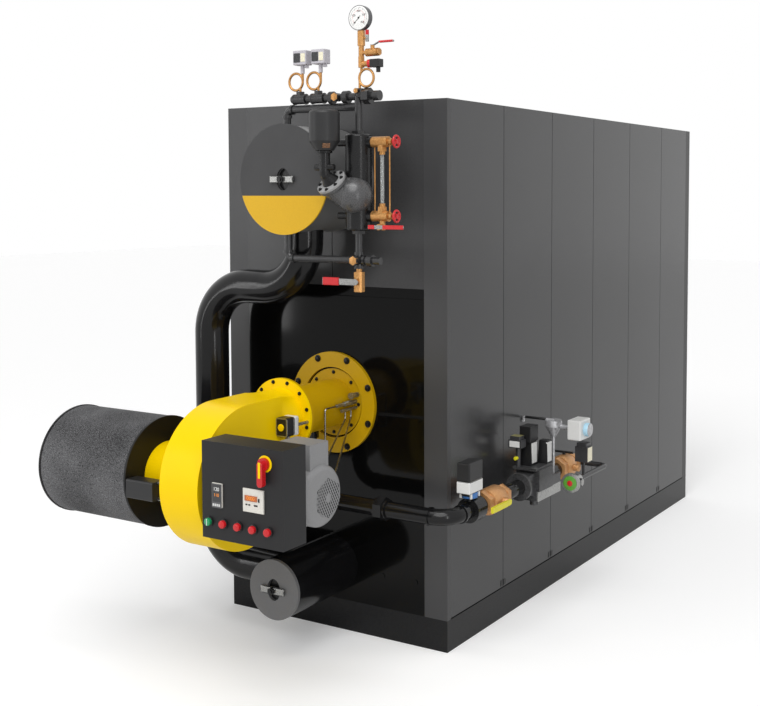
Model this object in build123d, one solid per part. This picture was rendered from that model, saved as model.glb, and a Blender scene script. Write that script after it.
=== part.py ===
from build123d import *
import math
import os

os.makedirs("parts", exist_ok=True)

# Directions
RIGHT = (1, 0, 0)
LEFT = (-1, 0, 0)
BACK = (0, 1, 0)
FRONT = (0, -1, 0)
UP = (0, 0, 1)
DOWN = (0, 0, -1)
HALF = 0.5
QUARTER_TURN = 90
FULL_TURN = 360
HEX_SIDES = 6

# Sizes used all over
CUT_OVERRUN = 5
RUNNING_GAP = 0.05
REST_GAP = 0.3

# Casing: the four sizes that the rest hangs on
BODY_WIDTH = 1266
BODY_DEPTH = 3174
BODY_HEIGHT = 2500
BASE_HEIGHT = 146
FRONT_Y = -BODY_DEPTH * HALF
BACK_Y = BODY_DEPTH * HALF
SIDE_X = BODY_WIDTH * HALF

# Main axes: the two drums, the burner and the gas train
UPPER_DRUM_DROP = 358
UPPER_DRUM_Z = BODY_HEIGHT - UPPER_DRUM_DROP
LOWER_DRUM_Z = 315
BURNER_X = 10
BURNER_Z = 1094
GAS_Z = 682


# Small building blocks


def block(x0, x1, y0, y1, z0, z1):
    return Pos((x0 + x1) * HALF, (y0 + y1) * HALF, (z0 + z1) * HALF) * Box(x1 - x0, y1 - y0, z1 - z0)


def rod(at, direction, radius, length):
    return extrude(Plane(at, z_dir=direction) * Circle(radius), length)


def ring(at, direction, outer, inner, length):
    return extrude(Plane(at, z_dir=direction) * (Circle(outer) - Circle(inner)), length)


def hexagon(at, direction, across_flats, length):
    flat_radius = across_flats * HALF
    return extrude(Plane(at, z_dir=direction) * RegularPolygon(flat_radius, HEX_SIDES, major_radius=False),
                   length)


def bent_pipe(points, bend_radius, radius):
    route = FilletPolyline(*points, radius=bend_radius)
    first, second = Vector(*points[0]), Vector(*points[1])
    return sweep(Plane(points[0], z_dir=second - first) * Circle(radius), path=route)


def along(point, direction, distance):
    return tuple(p + d * distance for p, d in zip(point, direction))


def rounded(shape, axis, radius):
    return fillet(shape.edges().filter_by(axis), radius)


def save(shape, node):
    export_step(shape, "parts/" + node + ".step")


# Base skid: a closed plinth, flush with the casing


def base_skid():
    return block(-SIDE_X, SIDE_X, FRONT_Y, BACK_Y, 0, BASE_HEIGHT)


# Casing: an insulated core with sheet panels hung on its sides, front, roof and back
PANEL_THICKNESS = 30
PANEL_COUNT = 6
PANEL_PITCH = BODY_DEPTH / PANEL_COUNT
PANEL_JOINT = 4
PANEL_BOTTOM_GAP = 6
REAR_COVER_DEPTH = 73
POST_WIDTH = 122
BAND_DROP = 852
BAND_HEIGHT = 48
BAND_RECESS = 12
PLUG_RADIUS = 12
PLUG_DEPTH = 3
PLUG_XS = (280, 462)
PLUG_Z = 297
CORE_FRONT_Y = FRONT_Y + PANEL_THICKNESS
REAR_COVER_Y = BACK_Y - REAR_COVER_DEPTH
BAND_TOP = BODY_HEIGHT - BAND_DROP
BAND_BOTTOM = BAND_TOP - BAND_HEIGHT
FRONT_EDGE_X = SIDE_X - POST_WIDTH


def casing_core():
    side = SIDE_X - PANEL_THICKNESS
    return block(-side, side, CORE_FRONT_Y, REAR_COVER_Y, BASE_HEIGHT, BODY_HEIGHT - PANEL_THICKNESS)


def panel_row(x0, x1, z0, z1):
    panels = []
    for number in range(PANEL_COUNT):
        start = max(FRONT_Y + PANEL_PITCH * number + PANEL_JOINT * HALF, CORE_FRONT_Y)
        end = min(FRONT_Y + PANEL_PITCH * (number + 1) - PANEL_JOINT * HALF, REAR_COVER_Y)
        panels.append(block(x0, x1, start, end, z0, z1))
    return panels


def side_panels():
    right = Compound(panel_row(SIDE_X - PANEL_THICKNESS, SIDE_X, BASE_HEIGHT + PANEL_BOTTOM_GAP,
                               BODY_HEIGHT))
    return Compound([*right.solids(), *mirror(right, Plane.YZ).solids()])


def roof_panels():
    side = SIDE_X - PANEL_THICKNESS
    return Compound(panel_row(-side, side, BODY_HEIGHT - PANEL_THICKNESS, BODY_HEIGHT))


def corner_posts():
    right = block(FRONT_EDGE_X, SIDE_X, FRONT_Y, CORE_FRONT_Y, BASE_HEIGHT, BODY_HEIGHT)
    return Compound([right, mirror(right, Plane.YZ)])


def drum_rod(drum_z, radius):
    return rod((0, CORE_FRONT_Y, drum_z), FRONT, radius, PANEL_THICKNESS)


def front_upper_panels():
    half_joint = PANEL_JOINT * HALF
    right = block(half_joint, FRONT_EDGE_X, FRONT_Y, CORE_FRONT_Y, BAND_TOP, BODY_HEIGHT)
    right -= drum_rod(UPPER_DRUM_Z, UPPER_DRUM_RADIUS)
    return Compound([right, mirror(right, Plane.YZ)])


def front_band():
    return block(-FRONT_EDGE_X, FRONT_EDGE_X, FRONT_Y + BAND_RECESS, CORE_FRONT_Y, BAND_BOTTOM, BAND_TOP)


def front_lower_plate():
    plate = block(-FRONT_EDGE_X, FRONT_EDGE_X, FRONT_Y, CORE_FRONT_Y, BASE_HEIGHT, BAND_BOTTOM)
    for x in PLUG_XS:
        plate += rod((x, FRONT_Y, PLUG_Z), FRONT, PLUG_RADIUS, PLUG_DEPTH)
    return plate - drum_rod(LOWER_DRUM_Z, LOWER_DRUM_RADIUS)


def rear_cover():
    return block(-SIDE_X, SIDE_X, REAR_COVER_Y, BACK_Y, BASE_HEIGHT, BODY_HEIGHT)


# Roof connections: two steam nozzles and the flue collar, all short stubs with a flange
NOZZLE_RADIUS = 57
NOZZLE_BORE = 50
NOZZLE_FLANGE_RADIUS = 110
NOZZLE_FLANGE_THICKNESS = 22
NOZZLE_HEIGHT = 60
NOZZLE_SPACING = 450
NOZZLE_BOLTS = 8
NOZZLE_BOLT_RADIUS = 9
NOZZLE_BOLT_CIRCLE = 90
FLUE_RADIUS = 200
FLUE_WALL = 6
FLUE_COLLAR_RADIUS = 235
FLUE_COLLAR_THICKNESS = 8
FLUE_HEIGHT = 70
FLUE_SETBACK = 420


def roof_nozzle(y):
    root = (0, y, BODY_HEIGHT)
    nozzle = ring(root, UP, NOZZLE_RADIUS, NOZZLE_BORE, NOZZLE_HEIGHT)
    flange_root = along(root, UP, NOZZLE_HEIGHT - NOZZLE_FLANGE_THICKNESS)
    nozzle += ring(flange_root, UP, NOZZLE_FLANGE_RADIUS, NOZZLE_BORE, NOZZLE_FLANGE_THICKNESS)
    holes = Sketch() + PolarLocations(NOZZLE_BOLT_CIRCLE, NOZZLE_BOLTS) * Circle(NOZZLE_BOLT_RADIUS)
    return nozzle - extrude(Plane(flange_root) * holes, NOZZLE_FLANGE_THICKNESS)


def flue_collar():
    root = (0, BACK_Y - FLUE_SETBACK, BODY_HEIGHT)
    collar = ring(root, UP, FLUE_RADIUS, FLUE_RADIUS - FLUE_WALL, FLUE_HEIGHT)
    return collar + ring(root, UP, FLUE_COLLAR_RADIUS, FLUE_RADIUS - FLUE_WALL, FLUE_COLLAR_THICKNESS)


def roof_connections():
    return Compound([roof_nozzle(0), roof_nozzle(NOZZLE_SPACING), flue_collar()])


# Upper drum: its front end sticks out of the casing
UPPER_DRUM_RADIUS = 240
UPPER_DRUM_WALL = 14
UPPER_DRUM_REACH = 352
UPPER_HEAD_THICKNESS = 10
UPPER_COVER_RADIUS = 246
UPPER_COVER_THICKNESS = 8
UPPER_COVER_SPLIT_SHARE = 0.295
HANDHOLE_HALF_WIDTH = 49
HANDHOLE_HALF_HEIGHT = 36
HANDHOLE_PLATE_THICKNESS = 12
HANDHOLE_LAP = 9
YOKE_LENGTH = 130
YOKE_HEIGHT = 30
YOKE_DEPTH = 14
YOKE_END_RADIUS = 12
YOKE_STUD_RADIUS = 9
YOKE_STUD_END = 16
YOKE_NUT_WIDTH = 30
YOKE_NUT_DEPTH = 11


def drum_face(drum_z, reach):
    return (0, FRONT_Y - reach, drum_z)


def handhole_cut(face, depth):
    opening = Plane(along(face, FRONT, CUT_OVERRUN), z_dir=BACK) * Ellipse(HANDHOLE_HALF_WIDTH,
                                                                           HANDHOLE_HALF_HEIGHT)
    return extrude(opening, depth + 2 * CUT_OVERRUN)


def upper_drum_shell():
    root = (0, CORE_FRONT_Y, UPPER_DRUM_Z)
    length = UPPER_DRUM_REACH - UPPER_HEAD_THICKNESS + PANEL_THICKNESS
    return ring(root, FRONT, UPPER_DRUM_RADIUS, UPPER_DRUM_RADIUS - UPPER_DRUM_WALL, length)


def drum_head(drum_z, reach, radius, thickness):
    face = drum_face(drum_z, reach)
    return rod(face, BACK, radius, thickness) - handhole_cut(face, thickness)


def upper_drum_cover():
    face = drum_face(UPPER_DRUM_Z, UPPER_DRUM_REACH + UPPER_COVER_THICKNESS)
    disc = rod(face, BACK, UPPER_COVER_RADIUS, UPPER_COVER_THICKNESS)
    disc -= handhole_cut(face, UPPER_COVER_THICKNESS)
    split_z = UPPER_DRUM_Z - UPPER_COVER_SPLIT_SHARE * UPPER_COVER_RADIUS
    top_z = UPPER_DRUM_Z + UPPER_COVER_RADIUS + CUT_OVERRUN
    upper_part = block(-UPPER_COVER_RADIUS, UPPER_COVER_RADIUS, face[1] - CUT_OVERRUN,
                       face[1] + UPPER_COVER_THICKNESS + CUT_OVERRUN, split_z, top_z)
    return disc & upper_part, disc - upper_part


def handhole_cover(drum_z, reach, cover_thickness, head_thickness):
    inside = (0, FRONT_Y - reach + head_thickness, drum_z)
    plate_face = Plane(inside, z_dir=BACK) * Ellipse(HANDHOLE_HALF_WIDTH + HANDHOLE_LAP,
                                                     HANDHOLE_HALF_HEIGHT + HANDHOLE_LAP)
    outside_y = FRONT_Y - reach - cover_thickness
    stud = rod(inside, FRONT, YOKE_STUD_RADIUS, inside[1] - outside_y + YOKE_DEPTH + YOKE_STUD_END)
    yoke = Pos(0, outside_y - YOKE_DEPTH * HALF, drum_z) * Box(YOKE_LENGTH, YOKE_DEPTH, YOKE_HEIGHT)
    yoke = rounded(yoke, Axis.Y, YOKE_END_RADIUS)
    nut = hexagon((0, outside_y - YOKE_DEPTH, drum_z), FRONT, YOKE_NUT_WIDTH, YOKE_NUT_DEPTH)
    return extrude(plate_face, HANDHOLE_PLATE_THICKNESS) + stud + yoke + nut


# Lower drum
LOWER_DRUM_RADIUS = 136.5
LOWER_DRUM_REACH = 450
LOWER_DRUM_WALL = 12
LOWER_HEAD_THICKNESS = 16


def lower_drum_shell():
    root = (0, CORE_FRONT_Y, LOWER_DRUM_Z)
    length = LOWER_DRUM_REACH - LOWER_HEAD_THICKNESS + PANEL_THICKNESS
    return ring(root, FRONT, LOWER_DRUM_RADIUS, LOWER_DRUM_RADIUS - LOWER_DRUM_WALL, length)


def drum_heads():
    upper = drum_head(UPPER_DRUM_Z, UPPER_DRUM_REACH, UPPER_DRUM_RADIUS, UPPER_HEAD_THICKNESS)
    return Compound([upper, drum_head(LOWER_DRUM_Z, LOWER_DRUM_REACH, LOWER_DRUM_RADIUS,
                                      LOWER_HEAD_THICKNESS)])


def handhole_covers():
    upper = handhole_cover(UPPER_DRUM_Z, UPPER_DRUM_REACH, UPPER_COVER_THICKNESS, UPPER_HEAD_THICKNESS)
    return Compound([upper, handhole_cover(LOWER_DRUM_Z, LOWER_DRUM_REACH, 0, LOWER_HEAD_THICKNESS)])


# Downcomer: from the underside of the upper drum round to the left side of the lower drum
DOWNCOMER_RADIUS = 80
DOWNCOMER_BEND = 229
DOWNCOMER_SETBACK = 200
DOWNCOMER_X = -574
DOWNCOMER_RAISE = 25
DOWNCOMER_Y = FRONT_Y - DOWNCOMER_SETBACK
DOWNCOMER_TOP_Z = (UPPER_DRUM_Z + BURNER_Z) * HALF + DOWNCOMER_RAISE


def downcomer_pipe():
    route = [(0, DOWNCOMER_Y, UPPER_DRUM_Z), (0, DOWNCOMER_Y, DOWNCOMER_TOP_Z),
             (DOWNCOMER_X, DOWNCOMER_Y, DOWNCOMER_TOP_Z), (DOWNCOMER_X, DOWNCOMER_Y, LOWER_DRUM_Z),
             (0, DOWNCOMER_Y, LOWER_DRUM_Z)]
    pipe = bent_pipe(route, DOWNCOMER_BEND, DOWNCOMER_RADIUS)
    pipe -= rod((0, FRONT_Y, UPPER_DRUM_Z), FRONT, UPPER_DRUM_RADIUS, UPPER_DRUM_REACH)
    pipe -= rod((0, FRONT_Y, LOWER_DRUM_Z), FRONT, LOWER_DRUM_RADIUS, LOWER_DRUM_REACH)
    return pipe


# Water column on its two equalizing pipes
COLUMN_X = 386
COLUMN_SETBACK = 325
COLUMN_Y = FRONT_Y - COLUMN_SETBACK
COLUMN_BOTTOM_DROP = 222
COLUMN_TOP_RISE = 190
COLUMN_BOTTOM_Z = UPPER_DRUM_Z - COLUMN_BOTTOM_DROP
COLUMN_TOP_Z = UPPER_DRUM_Z + COLUMN_TOP_RISE
COLUMN_RADIUS = 57
COLUMN_END_ROUND = 10
COLUMN_NUT_WIDTH = 54
COLUMN_NUT_HEIGHT = 14
COLUMN_BOSS_RADIUS = 15
COLUMN_BOSS_REACH = 105
GLASS_BOSS_RADIUS = 25
GLASS_BOSS_REACH = 75
EQUALIZER_RADIUS = 16.5
EQUALIZER_BEND = 30
EQUALIZER_RISE = 307
EQUALIZER_DROP = 350
UPPER_EQUALIZER_Z = UPPER_DRUM_Z + EQUALIZER_RISE
LOWER_EQUALIZER_Z = UPPER_DRUM_Z - EQUALIZER_DROP
ELBOW_BAND_RADIUS = 22
ELBOW_BAND_LENGTH = 12
CROSS_PLUG_RADIUS = 20
CROSS_PLUG_REACH = 48
CROSS_END_REACH = 112
CROSS_UNION_REACH = 48
CROSS_UNION_LENGTH = 26
CROSS_DROP = EQUALIZER_BEND + ELBOW_BAND_LENGTH * HALF


def elbow_bands(corner, *directions):
    bands = []
    for direction in directions:
        start = along(corner, direction, EQUALIZER_BEND - ELBOW_BAND_LENGTH * HALF)
        bands.append(rod(start, direction, ELBOW_BAND_RADIUS, ELBOW_BAND_LENGTH))
    return bands


def equalizing_pipe(level_z):
    corner = (0, COLUMN_Y, level_z)
    centre = (0, COLUMN_Y, UPPER_DRUM_Z)
    pipe = bent_pipe([centre, corner, (COLUMN_X, COLUMN_Y, level_z)], EQUALIZER_BEND, EQUALIZER_RADIUS)
    toward_drum = DOWN if level_z > UPPER_DRUM_Z else UP
    for band in elbow_bands(corner, toward_drum, RIGHT):
        pipe += band
    return pipe - rod((0, FRONT_Y, UPPER_DRUM_Z), FRONT, UPPER_DRUM_RADIUS, UPPER_DRUM_REACH)


def equalizing_pipes():
    upper = equalizing_pipe(UPPER_EQUALIZER_Z)
    upper += rod((COLUMN_X, COLUMN_Y, COLUMN_TOP_Z), UP, EQUALIZER_RADIUS, MANIFOLD_Z - COLUMN_TOP_Z)
    upper -= manifold_rod(MANIFOLD_RADIUS)
    upper += hexagon((COLUMN_X, COLUMN_Y, COLUMN_TOP_Z), UP, COLUMN_NUT_WIDTH, COLUMN_NUT_HEIGHT)
    lower = equalizing_pipe(LOWER_EQUALIZER_Z)
    lower += rod((COLUMN_X, COLUMN_Y, LOWER_EQUALIZER_Z), UP, EQUALIZER_RADIUS,
                 COLUMN_BOTTOM_Z - LOWER_EQUALIZER_Z)
    lower += hexagon((COLUMN_X, COLUMN_Y, COLUMN_BOTTOM_Z), DOWN, COLUMN_NUT_WIDTH, COLUMN_NUT_HEIGHT)
    cross = (COLUMN_X, COLUMN_Y, LOWER_EQUALIZER_Z)
    lower += rod(cross, DOWN, EQUALIZER_RADIUS, CROSS_DROP)
    lower += rod(cross, RIGHT, EQUALIZER_RADIUS, CROSS_END_REACH)
    lower += rod(along(cross, RIGHT, CROSS_UNION_REACH), RIGHT, GLASS_BOSS_RADIUS, CROSS_UNION_LENGTH)
    for band in elbow_bands(cross, LEFT, RIGHT, UP, DOWN):
        lower += band
    lower += rod(cross, FRONT, CROSS_PLUG_RADIUS, CROSS_PLUG_REACH)
    return Compound([*upper.solids(), *lower.solids()])


def column_rod(radius):
    return rod((COLUMN_X, COLUMN_Y, COLUMN_BOTTOM_Z), UP, radius, COLUMN_TOP_Z - COLUMN_BOTTOM_Z)


def water_column():
    column = column_rod(COLUMN_RADIUS)
    column = fillet(column.edges().group_by(Axis.Z)[0] + column.edges().group_by(Axis.Z)[-1],
                    COLUMN_END_ROUND)
    for z in (GLASS_TOP_Z, GLASS_BOTTOM_Z):
        centre = (COLUMN_X, COLUMN_Y, z)
        column += rod(centre, LEFT, COLUMN_BOSS_RADIUS, COLUMN_BOSS_REACH)
        column += rod(centre, RIGHT, GLASS_BOSS_RADIUS, GLASS_BOSS_REACH)
    return column


# Float switch: a tilted chamber on the column, a cast neck and the switch box above it
CHAMBER_DROP = 70
CHAMBER_REACH = 125
CHAMBER_YAW = 238
CHAMBER_TILT = 20
CHAMBER_BALL_RADIUS = 72
CHAMBER_MOUTH_RADIUS = 50
FLOAT_FLANGE_RADIUS = 64
FLOAT_FLANGE_THICKNESS = 14
NECK_RADIUS = 23
NECK_BEND = 32
NECK_STEP = 40
NECK_LUG_RADIUS = 11
NECK_LUG_REACH = 50
NECK_LUG_RISE = 44
NECK_COLLAR_RADIUS = 33
NECK_COLLAR_HEIGHT = 10
SWITCH_BOX_RADIUS = 65
SWITCH_BOX_ROUND = 16
SWITCH_BOX_RISE = 158
SWITCH_BOX_HEIGHT = 130
SWITCH_BOX_TAPER = 40
SWITCH_BOX_FOOT_RADIUS = 40
SWITCH_BOX_BOTTOM_Z = UPPER_DRUM_Z + SWITCH_BOX_RISE


def slanted(yaw, tilt):
    turn = math.radians(yaw)
    lift = math.radians(tilt)
    return math.cos(lift) * math.cos(turn), math.cos(lift) * math.sin(turn), math.sin(lift)


CHAMBER_AXIS = slanted(CHAMBER_YAW, CHAMBER_TILT)
CHAMBER_CENTRE = (COLUMN_X, COLUMN_Y, UPPER_DRUM_Z - CHAMBER_DROP)
FLANGE_CENTRE = along(CHAMBER_CENTRE, CHAMBER_AXIS, CHAMBER_REACH)
NECK_CORNER = along(FLANGE_CENTRE, CHAMBER_AXIS, NECK_STEP)


def float_chamber():
    ball_cut = CHAMBER_BALL_RADIUS * HALF
    wide_radius = math.sqrt(CHAMBER_BALL_RADIUS ** 2 - ball_cut ** 2)
    wide = Plane(along(CHAMBER_CENTRE, CHAMBER_AXIS, ball_cut), z_dir=CHAMBER_AXIS) * Circle(wide_radius)
    mouth = Plane(FLANGE_CENTRE, z_dir=CHAMBER_AXIS) * Circle(CHAMBER_MOUTH_RADIUS)
    chamber = loft([wide, mouth]) + Pos(*CHAMBER_CENTRE) * Sphere(CHAMBER_BALL_RADIUS)
    flange = rod(along(FLANGE_CENTRE, CHAMBER_AXIS, -FLOAT_FLANGE_THICKNESS), CHAMBER_AXIS,
                 FLOAT_FLANGE_RADIUS,
                 FLOAT_FLANGE_THICKNESS)
    return chamber + flange - column_rod(COLUMN_RADIUS)


def float_switch_neck():
    x, y = NECK_CORNER[0], NECK_CORNER[1]
    flange = rod(FLANGE_CENTRE, CHAMBER_AXIS, FLOAT_FLANGE_RADIUS, FLOAT_FLANGE_THICKNESS)
    top_z = SWITCH_BOX_BOTTOM_Z - SWITCH_BOX_TAPER
    start = along(FLANGE_CENTRE, CHAMBER_AXIS, FLOAT_FLANGE_THICKNESS * HALF)
    neck = flange + bent_pipe([start, NECK_CORNER, (x, y, top_z)], NECK_BEND, NECK_RADIUS)
    lug_start = (x - NECK_LUG_REACH, y, UPPER_DRUM_Z + NECK_LUG_RISE)
    neck += rod(lug_start, RIGHT, NECK_LUG_RADIUS, 2 * NECK_LUG_REACH)
    return neck + rod((x, y, top_z), DOWN, NECK_COLLAR_RADIUS, NECK_COLLAR_HEIGHT)


def float_switch_box():
    x, y = NECK_CORNER[0], NECK_CORNER[1]
    body = rod((x, y, SWITCH_BOX_BOTTOM_Z), UP, SWITCH_BOX_RADIUS, SWITCH_BOX_HEIGHT)
    body = fillet(body.edges().group_by(Axis.Z)[-1], SWITCH_BOX_ROUND)
    low = Plane((x, y, SWITCH_BOX_BOTTOM_Z - SWITCH_BOX_TAPER)) * Circle(SWITCH_BOX_FOOT_RADIUS)
    high = Plane((x, y, SWITCH_BOX_BOTTOM_Z)) * Circle(SWITCH_BOX_RADIUS)
    return body + loft([low, high])


# Gauge glass with its two valves, handwheels, guard rods and drain cock
GLASS_X = 508
GLASS_TOP_RISE = 155
GLASS_BOTTOM_DROP = 159
GLASS_TOP_Z = UPPER_DRUM_Z + GLASS_TOP_RISE
GLASS_BOTTOM_Z = UPPER_DRUM_Z - GLASS_BOTTOM_DROP
GLASS_RADIUS = 8
GLASS_VALVE_RADIUS = 23
GLASS_VALVE_HALF = 34
GLASS_BONNET_RADIUS = 14
GLASS_BONNET_REACH = 52
GLASS_NUT_WIDTH = 36
GLASS_NUT_DROP = 40
GLASS_GLAND_RADIUS = 13
GLASS_GLAND_DROP = 54
GUARD_OFFSET = 38
GUARD_RADIUS = 3
WHEEL_REACH = 66
WHEEL_RADIUS = 29
WHEEL_THICKNESS = 12
WHEEL_HUB_RADIUS = 10
WHEEL_RIM_RADIUS = 5
WHEEL_SPOKES = 4
WHEEL_SPOKE_RADIUS = 4
WHEEL_STEM_RADIUS = 5
WHEEL_STEM_DEPTH = 40
DRAIN_DROP = 46
DRAIN_RADIUS = 13
DRAIN_STANDOFF = 30
DRAIN_LONG_ARM = 128
DRAIN_SHORT_ARM = 52
DRAIN_ARM_WIDTH = 16
DRAIN_ARM_THICKNESS = 5
DRAIN_STEM_RADIUS = 5
WHEEL_X = GLASS_X + WHEEL_REACH
DRAIN_Z = GLASS_BOTTOM_Z - DRAIN_DROP


def glass_valve(z, toward_glass):
    centre = (GLASS_X, COLUMN_Y, z)
    root_x = COLUMN_X + GLASS_BOSS_REACH
    valve = rod((root_x, COLUMN_Y, z), RIGHT, GLASS_VALVE_RADIUS, GLASS_X + GLASS_VALVE_HALF - root_x)
    valve += rod(centre, RIGHT, GLASS_BONNET_RADIUS, GLASS_BONNET_REACH)
    valve += hexagon(centre, toward_glass, GLASS_NUT_WIDTH, GLASS_NUT_DROP)
    valve += rod(centre, toward_glass, GLASS_GLAND_RADIUS, GLASS_GLAND_DROP)
    return valve


def gauge_glass_valves():
    bottom = glass_valve(GLASS_BOTTOM_Z, UP)
    drain = (GLASS_X, COLUMN_Y, DRAIN_Z)
    bottom += rod(along(drain, DOWN, DRAIN_RADIUS), UP, DRAIN_RADIUS, DRAIN_RADIUS + DRAIN_DROP)
    bottom += rod(drain, FRONT, DRAIN_RADIUS, DRAIN_STANDOFF)
    bottom -= rod(drain, FRONT, DRAIN_STEM_RADIUS + RUNNING_GAP, DRAIN_STANDOFF)
    fittings = glass_valve(GLASS_TOP_Z, DOWN) + bottom
    for side in (-GUARD_OFFSET, GUARD_OFFSET):
        fittings += rod((GLASS_X + side, COLUMN_Y, GLASS_BOTTOM_Z), UP, GUARD_RADIUS,
                        GLASS_TOP_Z - GLASS_BOTTOM_Z)
    opening = rod((GLASS_X, COLUMN_Y, GLASS_BOTTOM_Z + GLASS_NUT_DROP), UP, GLASS_RADIUS,
                  GLASS_TOP_Z - GLASS_BOTTOM_Z - 2 * GLASS_NUT_DROP)
    for side in (LEFT, RIGHT):
        for z in (GLASS_TOP_Z, GLASS_BOTTOM_Z):
            fittings += rod((GLASS_X, COLUMN_Y, z), side, GUARD_RADIUS, GUARD_OFFSET)
    fittings -= opening
    for z in (GLASS_TOP_Z, GLASS_BOTTOM_Z):
        inside = (WHEEL_X - WHEEL_STEM_DEPTH, COLUMN_Y, z)
        fittings -= rod(inside, RIGHT, WHEEL_STEM_RADIUS + RUNNING_GAP, WHEEL_STEM_DEPTH)
    return fittings


def gauge_glass():
    start = (GLASS_X, COLUMN_Y, GLASS_BOTTOM_Z + GLASS_NUT_DROP)
    return rod(start, UP, GLASS_RADIUS, GLASS_TOP_Z - GLASS_BOTTOM_Z - 2 * GLASS_NUT_DROP)


def glass_handwheel(z):
    hub = (WHEEL_X, COLUMN_Y, z)
    rim_plane = Plane(along(hub, RIGHT, WHEEL_THICKNESS * HALF), z_dir=RIGHT)
    wheel = rim_plane * Torus(WHEEL_RADIUS - WHEEL_RIM_RADIUS, WHEEL_RIM_RADIUS)
    for number in range(WHEEL_SPOKES):
        turn = (number + HALF) * FULL_TURN / WHEEL_SPOKES
        spoke = slanted(QUARTER_TURN, turn)
        wheel += rod(tuple(rim_plane.origin), spoke, WHEEL_SPOKE_RADIUS, WHEEL_RADIUS - WHEEL_RIM_RADIUS)
    wheel += rod(hub, RIGHT, WHEEL_HUB_RADIUS, WHEEL_THICKNESS)
    return wheel + rod(hub, LEFT, WHEEL_STEM_RADIUS, WHEEL_STEM_DEPTH)


def glass_drain_handle():
    face_y = COLUMN_Y - DRAIN_STANDOFF
    half_width = DRAIN_ARM_WIDTH * HALF
    bar = block(GLASS_X - DRAIN_SHORT_ARM, GLASS_X + DRAIN_LONG_ARM, face_y - DRAIN_ARM_THICKNESS, face_y,
                DRAIN_Z - half_width, DRAIN_Z + half_width)
    bar = rounded(bar, Axis.Y, half_width - REST_GAP)
    return bar + rod((GLASS_X, face_y, DRAIN_Z), BACK, DRAIN_STEM_RADIUS, DRAIN_STANDOFF)


# Blowdown valve under the column
BLOWDOWN_DROP = 93
BLOWDOWN_Z = LOWER_EQUALIZER_Z - BLOWDOWN_DROP
BLOWDOWN_HEIGHT = 86
BLOWDOWN_WIDTH = 42
BLOWDOWN_DEPTH = 36
BLOWDOWN_CHAMFER = 7
BLOWDOWN_PIPE_RADIUS = 13
BLOWDOWN_STEM_RADIUS = 6
BLOWDOWN_LEVER_LENGTH = 172
BLOWDOWN_LEVER_WIDTH = 26
BLOWDOWN_LEVER_THICKNESS = 5
BLOWDOWN_SLEEVE_LENGTH = 84
BLOWDOWN_SLEEVE_WIDTH = 32
BLOWDOWN_SLEEVE_THICKNESS = 11
BLOWDOWN_STANDOFF = 8
BLOWDOWN_BOSS_RADIUS = 11


def blowdown_valve():
    centre = (COLUMN_X, COLUMN_Y, BLOWDOWN_Z)
    half_height = BLOWDOWN_HEIGHT * HALF
    body = Pos(*centre) * Box(BLOWDOWN_WIDTH, BLOWDOWN_DEPTH, BLOWDOWN_HEIGHT)
    body = chamfer(body.edges().filter_by(Axis.Z), BLOWDOWN_CHAMFER)
    body += rod(along(centre, UP, half_height), UP, BLOWDOWN_PIPE_RADIUS,
                BLOWDOWN_DROP - half_height - CROSS_DROP)
    body += rod(centre, FRONT, BLOWDOWN_BOSS_RADIUS, BLOWDOWN_DEPTH * HALF + BLOWDOWN_STANDOFF)
    hole_depth = BLOWDOWN_DEPTH * HALF + BLOWDOWN_STANDOFF + CUT_OVERRUN
    return body - rod(centre, FRONT, BLOWDOWN_STEM_RADIUS + RUNNING_GAP, hole_depth)


def blowdown_lever():
    face_y = COLUMN_Y - BLOWDOWN_DEPTH * HALF - BLOWDOWN_STANDOFF
    half_width = BLOWDOWN_LEVER_WIDTH * HALF
    half_sleeve = BLOWDOWN_SLEEVE_WIDTH * HALF
    tip_x = COLUMN_X - BLOWDOWN_LEVER_LENGTH
    lever = block(tip_x, COLUMN_X + half_width, face_y - BLOWDOWN_LEVER_THICKNESS, face_y,
                  BLOWDOWN_Z - half_width, BLOWDOWN_Z + half_width)
    lever = rounded(lever, Axis.Y, half_width - REST_GAP)
    sleeve_y = face_y - BLOWDOWN_LEVER_THICKNESS * HALF
    half_thick = BLOWDOWN_SLEEVE_THICKNESS * HALF
    lever += block(tip_x, tip_x + BLOWDOWN_SLEEVE_LENGTH, sleeve_y - half_thick, sleeve_y + half_thick,
                   BLOWDOWN_Z - half_sleeve, BLOWDOWN_Z + half_sleeve)
    return lever + rod((COLUMN_X, face_y, BLOWDOWN_Z), BACK, BLOWDOWN_STEM_RADIUS, COLUMN_Y - face_y)


# Manifold above the column: tees, a union and plugs on one header pipe
MANIFOLD_RISE = 351
MANIFOLD_Z = UPPER_DRUM_Z + MANIFOLD_RISE
MANIFOLD_LEFT_X = 30
MANIFOLD_RIGHT_X = 498
MANIFOLD_RADIUS = 16
TEE_XS = (75, 174)
TEE_RADIUS = 22
TEE_HALF = 34
TEE_BAND_RADIUS = 23.5
TEE_BAND_LENGTH = 8
BUSHING_WIDTH = 34
BUSHING_TOP = 33
COUPLING_X = 238
COUPLING_LENGTH = 20
COUPLING_RADIUS = 27
FRONT_PLUG_X = 285
FRONT_PLUG_RADIUS = 18
FRONT_PLUG_REACH = 38
SMALL_UNION_X = 312
SMALL_UNION_LENGTH = 26
GAUGE_RISER_X = 394
GAUGE_RISER_RADIUS = 19
GAUGE_PLUG_RADIUS = 11
GAUGE_PLUG_REACH = 32
GAUGE_PLUG_RISE = 22
BIG_UNION_X = 418
BIG_UNION_LENGTH = 34
BIG_UNION_WIDTH = 60
END_CAP_LENGTH = 28


def manifold_rod(radius):
    return rod((MANIFOLD_LEFT_X, COLUMN_Y, MANIFOLD_Z), RIGHT, radius, MANIFOLD_RIGHT_X - MANIFOLD_LEFT_X)


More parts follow.
